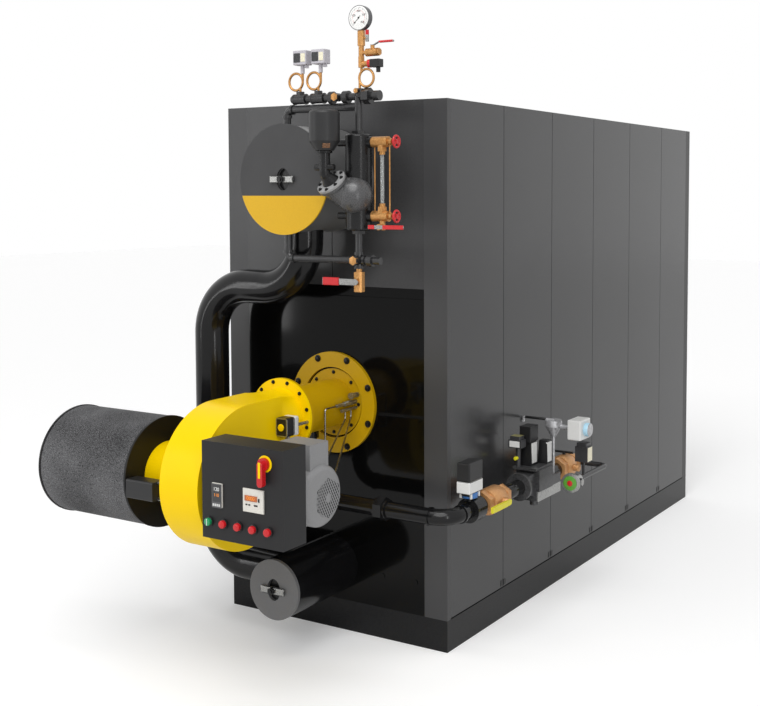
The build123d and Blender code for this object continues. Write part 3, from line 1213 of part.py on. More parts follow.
# Instruments and push-buttons on the panel door, as offsets from its lower left corner
CONTROLLER_DEPTH = 8
CONTROLLER_ROUND = 2
SMALL_CONTROLLER_DX = 56
SMALL_CONTROLLER_DZ = 129
SMALL_CONTROLLER_WIDTH = 50
SMALL_CONTROLLER_HEIGHT = 94
LARGE_CONTROLLER_DX = 212
LARGE_CONTROLLER_DZ = 132
LARGE_CONTROLLER_WIDTH = 100
LARGE_CONTROLLER_HEIGHT = 90
BUTTON_RADIUS = 14.5
BUTTON_BEZEL_RADIUS = 18
BUTTON_BEZEL_DEPTH = 4
BUTTON_DEPTH = 18
BUTTON_ROUND = 3
BUTTON_DZ = 67
BUTTON_START_DX = 38
BUTTON_SPACING = 74
BUTTON_COUNT = 5


def controller(dx, dz, width, height):
    left_x, low_z = PANEL_LEFT_X + dx, PANEL_LOW_Z + dz
    case = block(left_x, left_x + width, PANEL_FRONT_Y - CONTROLLER_DEPTH, PANEL_FRONT_Y, low_z,
                 low_z + height)
    return chamfer(case.faces().sort_by(Axis.Y)[0].edges(), CONTROLLER_ROUND)


def panel_buttons():
    buttons = []
    for number in range(BUTTON_COUNT):
        centre = (PANEL_LEFT_X + BUTTON_START_DX + number * BUTTON_SPACING, PANEL_FRONT_Y,
                  PANEL_LOW_Z + BUTTON_DZ)
        cap = rod(centre, FRONT, BUTTON_RADIUS, BUTTON_DEPTH)
        cap = fillet(cap.edges().group_by(Axis.Y)[0], BUTTON_ROUND)
        buttons.append(cap + rod(centre, FRONT, BUTTON_BEZEL_RADIUS, BUTTON_BEZEL_DEPTH))
    return buttons


def panel_instruments():
    small = controller(SMALL_CONTROLLER_DX, SMALL_CONTROLLER_DZ, SMALL_CONTROLLER_WIDTH,
                       SMALL_CONTROLLER_HEIGHT)
    large = controller(LARGE_CONTROLLER_DX, LARGE_CONTROLLER_DZ, LARGE_CONTROLLER_WIDTH,
                       LARGE_CONTROLLER_HEIGHT)
    return Compound([small, large, *panel_buttons()])


# Main disconnect: a turning handle on the panel door
DISCONNECT_DX = 318
DISCONNECT_DZ = 325
DISCONNECT_PLATE_RADIUS = 32
DISCONNECT_PLATE_DEPTH = 3
DISCONNECT_KNOB_RADIUS = 25
DISCONNECT_HANDLE_LENGTH = 84
DISCONNECT_HANDLE_WIDTH = 27
DISCONNECT_HANDLE_START = 14
DISCONNECT_DEPTH = 36
DISCONNECT_ROUND = 3
DISCONNECT_STEM_RADIUS = 6
DISCONNECT_X = PANEL_LEFT_X + DISCONNECT_DX
DISCONNECT_Z = PANEL_LOW_Z + DISCONNECT_DZ


def disconnect_handle():
    centre = (DISCONNECT_X, PANEL_FRONT_Y, DISCONNECT_Z)
    half = DISCONNECT_HANDLE_WIDTH * HALF
    grip = block(DISCONNECT_X - half, DISCONNECT_X + half, PANEL_FRONT_Y - DISCONNECT_DEPTH,
                 PANEL_FRONT_Y - DISCONNECT_HANDLE_START, DISCONNECT_Z - DISCONNECT_HANDLE_LENGTH,
                 DISCONNECT_Z + half)
    grip = rounded(grip, Axis.Y, half - REST_GAP)
    grip = fillet(grip.edges().group_by(Axis.Y)[0], DISCONNECT_ROUND)
    handle = rod(centre, FRONT, DISCONNECT_PLATE_RADIUS, DISCONNECT_PLATE_DEPTH)
    handle += rod(centre, FRONT, DISCONNECT_KNOB_RADIUS, DISCONNECT_HANDLE_START + DISCONNECT_ROUND)
    return handle + grip + rod(centre, BACK, DISCONNECT_STEM_RADIUS, DOOR_THICKNESS - REST_GAP)


# Folded bracket that carries the control panel on the side of the scroll
BRACKET_THICKNESS = 6
BRACKET_LOW_DROP = 55
BRACKET_HEIGHT = 180
BRACKET_WIDTH = 218
BRACKET_DEPTH = 60
BRACKET_SLOT_LENGTH = 90
BRACKET_SLOT_RADIUS = 14


def panel_bracket():
    low_z = FAN_Z - BRACKET_LOW_DROP
    front_y = PANEL_BACK_Y + BRACKET_THICKNESS
    bracket = block(SCROLL_RIGHT_X, SCROLL_RIGHT_X + BRACKET_THICKNESS, PANEL_BACK_Y - BRACKET_DEPTH,
                    front_y, low_z,
                    low_z + BRACKET_HEIGHT)
    bracket += block(SCROLL_RIGHT_X, SCROLL_RIGHT_X + BRACKET_WIDTH, PANEL_BACK_Y, front_y, low_z,
                     low_z + BRACKET_HEIGHT)
    slot_x = SCROLL_RIGHT_X + BRACKET_WIDTH * HALF
    slot = Plane((slot_x, PANEL_BACK_Y, low_z + BRACKET_HEIGHT * HALF), x_dir=RIGHT, z_dir=BACK)
    return bracket - extrude(slot * SlotOverall(BRACKET_SLOT_LENGTH, 2 * BRACKET_SLOT_RADIUS),
                             BRACKET_THICKNESS)


# Gas train: riser under the burner, front run, elbow round the corner and valves along the right side
GAS_PIPE_RADIUS = 36
GAS_SETBACK = 200
GAS_STANDOFF = 130
GAS_BEND = 95
GAS_BAND_RADIUS = 41
GAS_BAND_LENGTH = 10
GAS_UNION_X = 395
GAS_UNION_WIDTH = 96
GAS_UNION_LENGTH = 42
GAS_COLLAR_RADIUS = 44
GAS_COLLAR_LENGTH = 66
GAS_INLET_DROP = 134
GAS_INLET_RADIUS = 46
GAS_END = 1090
GAS_FRONT_Y = FRONT_Y - GAS_SETBACK
GAS_SIDE_X = SIDE_X + GAS_STANDOFF
BUTTERFLY_RADIUS = 56
BUTTERFLY_HALF = 40
BUTTERFLY_NECK_RADIUS = 22
BUTTERFLY_NECK_FOOT = 44
BUTTERFLY_TOP_RISE = 69
BALL_1_START = 78
BALL_1_END = 332
BALL_2_START = 850
BALL_2_END = 1040
BLOCK_RING_START = 440
BLOCK_END = 690


def gas_point(distance):
    return (GAS_SIDE_X, FRONT_Y + distance, GAS_Z)


def gas_pipes():
    riser_foot = (BURNER_X, GAS_FRONT_Y, GAS_Z)
    corner = (GAS_SIDE_X, GAS_FRONT_Y, GAS_Z)
    pipe = bent_pipe([(BURNER_X, GAS_FRONT_Y, BURNER_Z), riser_foot, corner, gas_point(-BUTTERFLY_HALF)],
                     GAS_BEND,
                     GAS_PIPE_RADIUS)
    for start, direction in ((corner, LEFT), (corner, BACK), (riser_foot, RIGHT), (riser_foot, UP)):
        pipe += rod(along(start, direction, GAS_BEND - GAS_BAND_LENGTH * HALF), direction, GAS_BAND_RADIUS,
                    GAS_BAND_LENGTH)
    union = (GAS_UNION_X, GAS_FRONT_Y, GAS_Z)
    pipe += hexagon(union, RIGHT, GAS_UNION_WIDTH, GAS_UNION_LENGTH)
    pipe += rod(along(union, LEFT, (GAS_COLLAR_LENGTH - GAS_UNION_LENGTH) * HALF), RIGHT, GAS_COLLAR_RADIUS,
                GAS_COLLAR_LENGTH)
    pipe += rod((BURNER_X, GAS_FRONT_Y, BURNER_Z - GAS_INLET_DROP), UP, GAS_INLET_RADIUS, GAS_INLET_DROP)
    pilot_boss = (BURNER_X, GAS_FRONT_Y, BURNER_Z - PILOT_TUBE_DROP)
    pipe += rod(pilot_boss, FRONT, PILOT_BOSS_RADIUS, PILOT_BOSS_REACH)
    pipe -= rod(burner_point(0), FRONT, TUBE_RADIUS, TUBE_END_REACH)
    runs = [(BUTTERFLY_HALF, BALL_1_START), (BALL_1_END, BLOCK_RING_START), (BLOCK_END, BALL_2_START),
            (BALL_2_END, GAS_END)]
    for low, high in runs:
        pipe += rod(gas_point(low), BACK, GAS_PIPE_RADIUS, high - low)
    return Compound(pipe.solids())


# Butterfly valve with its actuator
ACTUATOR_WIDTH = 66
ACTUATOR_LENGTH = 118
ACTUATOR_SKIRT_RISE = 84
ACTUATOR_SKIRT_HEIGHT = 52
ACTUATOR_CAP_HEIGHT = 84
ACTUATOR_CAP_WIDTH = 58
ACTUATOR_CAP_LENGTH = 104
ACTUATOR_TOP_WIDTH = 46
ACTUATOR_TOP_LENGTH = 90
ACTUATOR_ROUND = 8
ACTUATOR_SHIFT = -24
COUPLING_BASE_WIDTH = 46
COUPLING_BASE_LENGTH = 74


def butterfly_valve():
    body = rod(gas_point(-BUTTERFLY_HALF), BACK, BUTTERFLY_RADIUS, 2 * BUTTERFLY_HALF)
    neck_foot = along(gas_point(ACTUATOR_SHIFT), UP, BUTTERFLY_NECK_FOOT)
    return body + rod(neck_foot, UP, BUTTERFLY_NECK_RADIUS, BUTTERFLY_TOP_RISE - BUTTERFLY_NECK_FOOT)


def level_plane(distance, rise):
    return Plane(along(gas_point(distance), UP, rise))


def butterfly_actuator():
    coupling = extrude(
        level_plane(ACTUATOR_SHIFT, BUTTERFLY_TOP_RISE) * Rectangle(COUPLING_BASE_WIDTH,
                                                                    COUPLING_BASE_LENGTH),
        ACTUATOR_SKIRT_RISE - BUTTERFLY_TOP_RISE)
    skirt = extrude(level_plane(ACTUATOR_SHIFT, ACTUATOR_SKIRT_RISE) * RectangleRounded(
        ACTUATOR_WIDTH, ACTUATOR_LENGTH, ACTUATOR_ROUND), ACTUATOR_SKIRT_HEIGHT)
    cap_rise = ACTUATOR_SKIRT_RISE + ACTUATOR_SKIRT_HEIGHT
    cap = loft([
        level_plane(ACTUATOR_SHIFT, cap_rise) * RectangleRounded(ACTUATOR_CAP_WIDTH, ACTUATOR_CAP_LENGTH,
                                                                 ACTUATOR_ROUND),
        level_plane(ACTUATOR_SHIFT, cap_rise + ACTUATOR_CAP_HEIGHT) * RectangleRounded(
            ACTUATOR_TOP_WIDTH, ACTUATOR_TOP_LENGTH, ACTUATOR_ROUND)])
    return coupling + skirt + cap


# Ball valves: a turned body between hexagonal ends
BALL_RADIUS = 62
BALL_LENGTH = 96
BALL_SHOULDER_RADIUS = 48
BALL_HEX_WIDTH = 104
BALL_HEX_LENGTH = 42
BALL_BOSS_RADIUS = 18
HANDLE_STEM_RADIUS = 8
HANDLE_REACH = 26
HANDLE_LENGTH = 168
HANDLE_WIDTH = 26
HANDLE_THICKNESS = 6
HANDLE_SLEEVE_LENGTH = 138
HANDLE_SLEEVE_THICKNESS = 12
TEE_HANDLE_LENGTH = 105
TEE_HANDLE_RADIUS = 6
TEE_HANDLE_RISE = 74
STEM_SHIFT = -20


def ball_body(start, end):
    middle = (start + end) * HALF
    half_ball = BALL_LENGTH * HALF
    profile = Polyline((0, start), (BALL_SHOULDER_RADIUS, start), (BALL_SHOULDER_RADIUS, middle - half_ball),
                       (BALL_RADIUS, middle - half_ball * HALF), (BALL_RADIUS, middle + half_ball * HALF),
                       (BALL_SHOULDER_RADIUS, middle + half_ball), (BALL_SHOULDER_RADIUS, end), (0, end),
                       close=True)
    side = Plane(gas_point(0), x_dir=RIGHT, z_dir=UP)
    body = revolve(side * make_face(profile), Axis(gas_point(0), BACK))
    for hex_start in (start, end - BALL_HEX_LENGTH):
        body += hexagon(gas_point(hex_start), BACK, BALL_HEX_WIDTH, BALL_HEX_LENGTH)
    return body


def ball_1_stem():
    return gas_point((BALL_1_START + BALL_1_END) * HALF + STEM_SHIFT)


def ball_2_stem():
    return gas_point((BALL_2_START + BALL_2_END) * HALF)


def gas_ball_valves():
    reach = BALL_RADIUS + HANDLE_REACH
    first = ball_body(BALL_1_START, BALL_1_END) + rod(ball_1_stem(), RIGHT, BALL_BOSS_RADIUS, reach)
    first -= rod(ball_1_stem(), RIGHT, HANDLE_STEM_RADIUS + RUNNING_GAP, reach + CUT_OVERRUN)
    second = ball_body(BALL_2_START, BALL_2_END) + rod(ball_2_stem(), RIGHT, BALL_BOSS_RADIUS, reach)
    second -= rod(ball_2_stem(), UP, HANDLE_STEM_RADIUS + RUNNING_GAP, TEE_HANDLE_RISE)
    return Compound([*first.solids(), *second.solids()])


def gas_valve_1_handle():
    stem = ball_1_stem()
    reach = BALL_RADIUS + HANDLE_REACH
    face_x = stem[0] + reach
    half = HANDLE_WIDTH * HALF
    bar = block(face_x, face_x + HANDLE_THICKNESS, stem[1] - HANDLE_LENGTH, stem[1] + half, GAS_Z - half,
                GAS_Z + half)
    bar = rounded(bar, Axis.X, half - REST_GAP)
    middle_x = face_x + HANDLE_THICKNESS * HALF
    half_sleeve = HANDLE_SLEEVE_THICKNESS * HALF
    sleeve = block(middle_x - half_sleeve, middle_x + half_sleeve, stem[1] - HANDLE_LENGTH,
                   stem[1] - HANDLE_LENGTH + HANDLE_SLEEVE_LENGTH, GAS_Z - half, GAS_Z + half)
    return bar + sleeve + rod(stem, RIGHT, HANDLE_STEM_RADIUS, reach)


def gas_valve_2_handle():
    stem = ball_2_stem()
    bar_start = (stem[0] - TEE_HANDLE_LENGTH * HALF, stem[1], stem[2] + TEE_HANDLE_RISE)
    bar = rod(bar_start, RIGHT, TEE_HANDLE_RADIUS, TEE_HANDLE_LENGTH)
    return bar + rod(stem, UP, HANDLE_STEM_RADIUS, TEE_HANDLE_RISE)


# Double shut-off valve: a cast body with a flared inlet, side rails, a deck and two actuators
BLOCK_START = 526
BLOCK_HALF_WIDTH = 55
BLOCK_BOTTOM_DROP = 82
BLOCK_TOP_RISE = 70
BLOCK_ROUND = 10
BLOCK_RING_RADIUS = 66
BLOCK_RING_LENGTH = 16
BLOCK_THROAT_RADIUS = 44
BLOCK_MOUTH_WIDTH = 88
BLOCK_MOUTH_HEIGHT = 116
DECK_RISE = 12
DECK_START = 500
RAIL_THICKNESS = 8
RAIL_END = 773
RAIL_HEIGHT = 96
RAIL_LAP = 12
RAIL_HOLE_RADIUS = 6
RAIL_HOLES = 3
DRAIN_PLUG_RADIUS = 22
DRAIN_PLUG_DROP = 38
COVER_THICKNESS = 14
COVER_END = 672
BLOCK_LOW_Z = GAS_Z - BLOCK_BOTTOM_DROP
BLOCK_HIGH_Z = GAS_Z + BLOCK_TOP_RISE
DECK_Z = BLOCK_HIGH_Z + DECK_RISE


def gas_valve_block():
    body = block(GAS_SIDE_X - BLOCK_HALF_WIDTH, GAS_SIDE_X + BLOCK_HALF_WIDTH, FRONT_Y + BLOCK_START,
                 FRONT_Y + BLOCK_END, BLOCK_LOW_Z, BLOCK_HIGH_Z)
    body = rounded(body, Axis.Y, BLOCK_ROUND)
    inlet_ring = rod(gas_point(BLOCK_RING_START), BACK, BLOCK_RING_RADIUS, BLOCK_RING_LENGTH)
    throat = Plane(gas_point(BLOCK_RING_START + BLOCK_RING_LENGTH), z_dir=BACK) * Circle(BLOCK_THROAT_RADIUS)
    mouth_plane = Plane(gas_point(BLOCK_START), x_dir=RIGHT, z_dir=BACK)
    mouth = mouth_plane * Rectangle(BLOCK_MOUTH_WIDTH, BLOCK_MOUTH_HEIGHT)
    body += inlet_ring + loft([throat, mouth])
    deck_half = BLOCK_HALF_WIDTH + RAIL_THICKNESS
    body += block(GAS_SIDE_X - deck_half, GAS_SIDE_X + deck_half, FRONT_Y + DECK_START, FRONT_Y + BLOCK_END,
                  BLOCK_HIGH_Z, DECK_Z)
    plug_y = (BLOCK_START + BLOCK_END) * HALF
    body += rod((GAS_SIDE_X, FRONT_Y + plug_y, BLOCK_LOW_Z), DOWN, DRAIN_PLUG_RADIUS, DRAIN_PLUG_DROP)
    body += block(GAS_SIDE_X + BLOCK_HALF_WIDTH, GAS_SIDE_X + BLOCK_HALF_WIDTH + COVER_THICKNESS,
                  FRONT_Y + BLOCK_START, FRONT_Y + COVER_END, BLOCK_LOW_Z + RAIL_HEIGHT * HALF, BLOCK_HIGH_Z)
    return body + valve_rail(-1) + valve_rail(1)


def valve_rail(side):
    inner = GAS_SIDE_X + side * BLOCK_HALF_WIDTH
    outer = inner + side * RAIL_THICKNESS
    rail = block(min(inner, outer), max(inner, outer), FRONT_Y + BLOCK_START, FRONT_Y + RAIL_END,
                 BLOCK_LOW_Z,
                 BLOCK_LOW_Z + RAIL_HEIGHT * HALF)
    rail += block(min(inner, outer), max(inner, outer), FRONT_Y + BLOCK_END - RAIL_LAP, FRONT_Y + RAIL_END,
                  BLOCK_LOW_Z, BLOCK_LOW_Z + RAIL_HEIGHT)
    pitch = (RAIL_END - BLOCK_START) / RAIL_HOLES
    for number in range(RAIL_HOLES):
        hole_y = FRONT_Y + BLOCK_START + pitch * (number + HALF)
        hole = (min(inner, outer), hole_y, BLOCK_LOW_Z + RAIL_HEIGHT * HALF * HALF)
        rail -= rod(hole, RIGHT, RAIL_HOLE_RADIUS, RAIL_THICKNESS)
    return rail


# The two actuators on the deck
TALL_START = 576
TALL_FOOT_WIDTH = 62
TALL_FOOT_LENGTH = 70
TALL_TOP_WIDTH = 50
TALL_TOP_LENGTH = 56
TALL_HEIGHT = 118
TALL_CAP_WIDTH = 62
TALL_CAP_LENGTH = 84
TALL_CAP_HEIGHT = 74
TALL_CAP_ROUND = 5
SHORT_DX = 34
SHORT_START = 655
SHORT_FOOT_WIDTH = 52
SHORT_FOOT_LENGTH = 56
SHORT_TOP_WIDTH = 44
SHORT_TOP_LENGTH = 40
SHORT_HEIGHT = 112
TALL_DX = -14


def deck_plane(dx, distance, rise):
    return Plane((GAS_SIDE_X + dx, FRONT_Y + distance, DECK_Z + rise))


def tapered_housing(dx, distance, foot, top, height):
    return loft([deck_plane(dx, distance, 0) * Rectangle(*foot),
                 deck_plane(dx, distance, height) * Rectangle(*top)])


def gas_valve_actuators():
    tall = tapered_housing(TALL_DX, TALL_START, (TALL_FOOT_WIDTH, TALL_FOOT_LENGTH),
                           (TALL_TOP_WIDTH, TALL_TOP_LENGTH),
                           TALL_HEIGHT)
    cap = extrude(deck_plane(TALL_DX, TALL_START, TALL_HEIGHT) * RectangleRounded(TALL_CAP_WIDTH,
                                                                                  TALL_CAP_LENGTH,
                                                                                  TALL_CAP_ROUND),
                                                                                  TALL_CAP_HEIGHT)
    short = tapered_housing(SHORT_DX, SHORT_START, (SHORT_FOOT_WIDTH, SHORT_FOOT_LENGTH),
                            (SHORT_TOP_WIDTH, SHORT_TOP_LENGTH), SHORT_HEIGHT)
    return [*(tall + cap).solids(), short]


def gas_actuators():
    return Compound([butterfly_actuator(), *gas_valve_actuators()])


# Gas pressure switches: one on the deck, one on the pilot line
GAS_SWITCH_WIDTH = 68
GAS_SWITCH_DEPTH = 55
GAS_SWITCH_HEIGHT = 38
GAS_SWITCH_COVER_HEIGHT = 18
GAS_SWITCH_COVER_ROUND = 5
GAS_SWITCH_POST_RADIUS = 12
LOW_SWITCH_DX = -40
LOW_SWITCH_DISTANCE = 503
LOW_SWITCH_RISE = 96
PILOT_SWITCH_RISE = 78
PILOT_LINE_DX = 180
PILOT_SWITCH_DISTANCE = 790


def gas_pressure_switch(centre_x, distance, low_z, height):
    plane = Plane((centre_x, FRONT_Y + distance, low_z))
    case = extrude(plane * Rectangle(GAS_SWITCH_WIDTH, GAS_SWITCH_DEPTH), height)
    cover_plane = Plane((centre_x, FRONT_Y + distance, low_z + height))
    cover = cover_plane * RectangleRounded(GAS_SWITCH_DEPTH, GAS_SWITCH_DEPTH - GAS_SWITCH_COVER_ROUND,
                                           GAS_SWITCH_COVER_ROUND)
    return case + extrude(cover, GAS_SWITCH_COVER_HEIGHT)


def gas_pressure_switches():
    low_z = DECK_Z + LOW_SWITCH_RISE
    low_switch = gas_pressure_switch(GAS_SIDE_X + LOW_SWITCH_DX, LOW_SWITCH_DISTANCE, low_z,
                                     GAS_SWITCH_HEIGHT)
    post = (GAS_SIDE_X + LOW_SWITCH_DX, FRONT_Y + LOW_SWITCH_DISTANCE + GAS_SWITCH_POST_RADIUS, DECK_Z)
    low_switch += rod(post, UP, GAS_SWITCH_POST_RADIUS, LOW_SWITCH_RISE)
    pilot_low_z = GAS_Z + PILOT_SWITCH_RISE
    pilot_switch = gas_pressure_switch(PILOT_LINE_X, PILOT_SWITCH_DISTANCE, pilot_low_z,
                                       2 * GAS_SWITCH_HEIGHT)
    return Compound([*low_switch.solids(), *pilot_switch.solids()])


# Pilot gas line: taken off the end of the train, through a small regulator
PILOT_LINE_RADIUS = 13
PILOT_LINE_BEND = 30
PILOT_TAP_DISTANCE = 1068
PILOT_LINE_END = 752
PILOT_STUB_RADIUS = 7
REGULATOR_START = 637
REGULATOR_RIM_RADIUS = 47
REGULATOR_RIM_LENGTH = 16
REGULATOR_BODY_RADIUS = 34
REGULATOR_BODY_LENGTH = 62
REGULATOR_NECK_RADIUS = 20
REGULATOR_DISC_RADIUS = 34
REGULATOR_DISC_DEPTH = 5
REGULATOR_PORT_RADIUS = 19
REGULATOR_PORT_REACH = 44
REGULATOR_PORT_SHIFT = 46
PILOT_LINE_X = GAS_SIDE_X + PILOT_LINE_DX


def pilot_gas_line():
    corner = (PILOT_LINE_X, FRONT_Y + PILOT_TAP_DISTANCE, GAS_Z)
    route = [gas_point(PILOT_TAP_DISTANCE), corner, (PILOT_LINE_X, FRONT_Y + PILOT_LINE_END, GAS_Z)]
    line = bent_pipe(route, PILOT_LINE_BEND, PILOT_LINE_RADIUS)
    line -= rod(gas_point(BALL_2_END), BACK, GAS_PIPE_RADIUS, GAS_END - BALL_2_END)
    stub = (PILOT_LINE_X, FRONT_Y + PILOT_SWITCH_DISTANCE, GAS_Z)
    line += rod(stub, UP, PILOT_STUB_RADIUS, PILOT_SWITCH_RISE)
    return line + pilot_regulator()


def pilot_regulator():
    front = (PILOT_LINE_X, FRONT_Y + REGULATOR_START, GAS_Z)
    rim_end = REGULATOR_RIM_LENGTH
    body_end = rim_end + REGULATOR_BODY_LENGTH
    regulator = rod(front, BACK, REGULATOR_RIM_RADIUS, rim_end)
    regulator += rod(front, FRONT, REGULATOR_DISC_RADIUS, REGULATOR_DISC_DEPTH)
    regulator += rod(front, BACK, REGULATOR_BODY_RADIUS, body_end)
    regulator += rod(front, BACK, REGULATOR_NECK_RADIUS, PILOT_LINE_END - REGULATOR_START)
    port = along(front, BACK, REGULATOR_PORT_SHIFT)
    return regulator + rod(port, RIGHT, REGULATOR_PORT_RADIUS, REGULATOR_PORT_REACH)


# Vent gas proving valve: a bowl on a thin pipe, its solenoid and the stay bar to the casing
BOWL_DX = 43
BOWL_DISTANCE = 732
BOWL_RISE = 250
BOWL_RADIUS = 42
BOWL_SHOULDER_HEIGHT = 30
BOWL_DEPTH = 52
BOWL_FOOT_RADIUS = 12
BOWL_PIPE_RADIUS = 7
BOWL_LINK_RADIUS = 12
SOLENOID_DX = 145
SOLENOID_WIDTH = 70
SOLENOID_LENGTH = 116
SOLENOID_HEIGHT = 96
SOLENOID_CAP_RADIUS = 32
SOLENOID_CAP_LENGTH = 26
SOLENOID_ROUND = 6
STAY_RADIUS = 6
STAY_RISE = 280
STAY_DROP = 22
STAY_BEND = 8
STAY_STANDOFF = 7
BOWL_X = GAS_SIDE_X + BOWL_DX
BOWL_Y = FRONT_Y + BOWL_DISTANCE
BOWL_Z = GAS_Z + BOWL_RISE


def gas_vent_bowl():
    profile = Polyline((0, -BOWL_DEPTH), (BOWL_FOOT_RADIUS, -BOWL_DEPTH), (BOWL_RADIUS, 0),
                       (BOWL_RADIUS, BOWL_SHOULDER_HEIGHT), (0, BOWL_SHOULDER_HEIGHT), close=True)
    centre = (BOWL_X, BOWL_Y, BOWL_Z)
    side = Plane(centre, x_dir=RIGHT, z_dir=FRONT)
    bowl = revolve(side * make_face(profile), Axis(centre, UP))
    pipe_foot = (BOWL_X, BOWL_Y, GAS_Z)
    bowl += rod(pipe_foot, UP, BOWL_PIPE_RADIUS, BOWL_RISE - BOWL_DEPTH)
    bowl += rod(centre, RIGHT, BOWL_LINK_RADIUS, SOLENOID_DX - BOWL_DX + SOLENOID_WIDTH * HALF * HALF)
    return bowl


def gas_vent_solenoid():
    x = GAS_SIDE_X + SOLENOID_DX + SOLENOID_WIDTH * HALF
    body = Pos(x, BOWL_Y, BOWL_Z) * Box(SOLENOID_WIDTH, SOLENOID_LENGTH, SOLENOID_HEIGHT)
    body = fillet(body.edges(), SOLENOID_ROUND)
    body += rod((x, BOWL_Y, BOWL_Z), RIGHT, SOLENOID_CAP_RADIUS, SOLENOID_WIDTH * HALF + SOLENOID_CAP_LENGTH)
    return body


def gas_stay_bar():
    z = GAS_Z + STAY_RISE
    foot = (SIDE_X + STAY_STANDOFF, BOWL_Y, z - STAY_DROP)
    bar = bent_pipe([foot, (foot[0], BOWL_Y, z), (BOWL_X, BOWL_Y, z)], STAY_BEND, STAY_RADIUS)
    return bar + rod((SIDE_X, BOWL_Y, z - STAY_DROP), RIGHT, STAY_RADIUS, STAY_STANDOFF)


def gas_vent_valve():
    return gas_vent_bowl() + gas_vent_solenoid() + gas_stay_bar()


cover_upper, cover_lower = upper_drum_cover()
NODES = {
    "base_skid": base_skid(),
    "casing_core": casing_core(),
    "side_panels": side_panels(),
    "roof_panels": roof_panels(),
    "corner_posts": corner_posts(),
    "front_upper_panels": front_upper_panels(),
    "front_band": front_band(),
    "front_lower_plate": front_lower_plate(),
    "rear_cover": rear_cover(),
    "roof_connections": roof_connections(),
    "upper_drum_shell": upper_drum_shell(),
    "drum_heads": drum_heads(),
    "upper_drum_cover": cover_upper,
    "upper_drum_cover_segment": cover_lower,
    "lower_drum_shell": lower_drum_shell(),
    "handhole_covers": handhole_covers(),
    "downcomer_pipe": downcomer_pipe(),
    "equalizing_pipes": equalizing_pipes(),
    "water_column": water_column(),
    "float_chamber": float_chamber(),
    "float_switch_neck": float_switch_neck(),
    "float_switch_box": float_switch_box(),
    "gauge_glass_valves": gauge_glass_valves(),
    "gauge_glass": gauge_glass(),
    "upper_glass_handwheel": glass_handwheel(GLASS_TOP_Z),
    "lower_glass_handwheel": glass_handwheel(GLASS_BOTTOM_Z),
    "glass_drain_handle": glass_drain_handle(),
    "blowdown_valve": blowdown_valve(),
    "blowdown_lever": blowdown_lever(),
    "manifold": manifold(),
    "siphons": siphons(),
    "pressure_switches": pressure_switches(),
    "gauge_fittings": gauge_fittings(),
    "pressure_gauge": pressure_gauge(),
    "gauge_test_lever": gauge_test_lever(),
    "burner_mounting_ring": burner_mounting_ring(),
    "blast_tube": blast_tube(),
    "burner_fittings": burner_fittings(),
    "burner_tubing": burner_tubing(),
    "fan_housing": fan_housing(),
    "silencer_body": silencer_body(),
    "silencer_end_plates": silencer_end_plates(),
    "fan_motor": fan_motor(),
    "damper_drive": damper_drive(),
    "panel_box": panel_box(),
    "panel_door": panel_door(),
    "panel_instruments": panel_instruments(),
    "disconnect_handle": disconnect_handle(),
    "panel_bracket": panel_bracket(),
    "gas_pipes": gas_pipes(),
    "gas_butterfly_valve": butterfly_valve(),
    "gas_ball_valves": gas_ball_valves(),
    "gas_valve_1_handle": gas_valve_1_handle(),
    "gas_valve_2_handle": gas_valve_2_handle(),
    "gas_valve_block": gas_valve_block(),
    "gas_actuators": gas_actuators(),
    "gas_pressure_switches": gas_pressure_switches(),
    "pilot_gas_line": pilot_gas_line(),
    "gas_vent_valve": gas_vent_valve(),
}
for node, shape in NODES.items():
    save(shape, node)
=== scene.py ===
import math

import bpy
from mathutils import Matrix, Vector


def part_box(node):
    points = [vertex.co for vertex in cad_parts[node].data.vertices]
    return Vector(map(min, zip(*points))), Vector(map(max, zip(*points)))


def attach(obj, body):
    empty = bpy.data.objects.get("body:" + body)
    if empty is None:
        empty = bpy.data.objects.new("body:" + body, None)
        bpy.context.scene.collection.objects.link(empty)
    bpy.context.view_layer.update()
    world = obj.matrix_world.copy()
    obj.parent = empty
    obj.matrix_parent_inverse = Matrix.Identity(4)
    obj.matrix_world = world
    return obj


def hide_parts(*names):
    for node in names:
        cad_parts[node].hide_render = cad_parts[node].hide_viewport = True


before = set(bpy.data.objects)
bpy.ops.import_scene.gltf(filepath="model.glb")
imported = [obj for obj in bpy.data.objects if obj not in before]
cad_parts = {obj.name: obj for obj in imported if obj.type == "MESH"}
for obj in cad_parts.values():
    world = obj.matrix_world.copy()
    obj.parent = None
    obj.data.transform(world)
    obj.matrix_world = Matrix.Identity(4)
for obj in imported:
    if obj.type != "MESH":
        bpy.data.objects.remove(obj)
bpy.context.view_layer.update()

# Base skid: a welded frame of steel channel, closed with plate, that carries the whole boiler.
# It has a coat of satin black paint.


def tone(code):
    channels = [int(code[i:i + 2], 16) / 255 for i in (0, 2, 4)]
    linear = [c / 12.92 if c <= 0.04045 else ((c + 0.055) / 1.055) ** 2.4 for c in channels]
    return (*linear, 1)


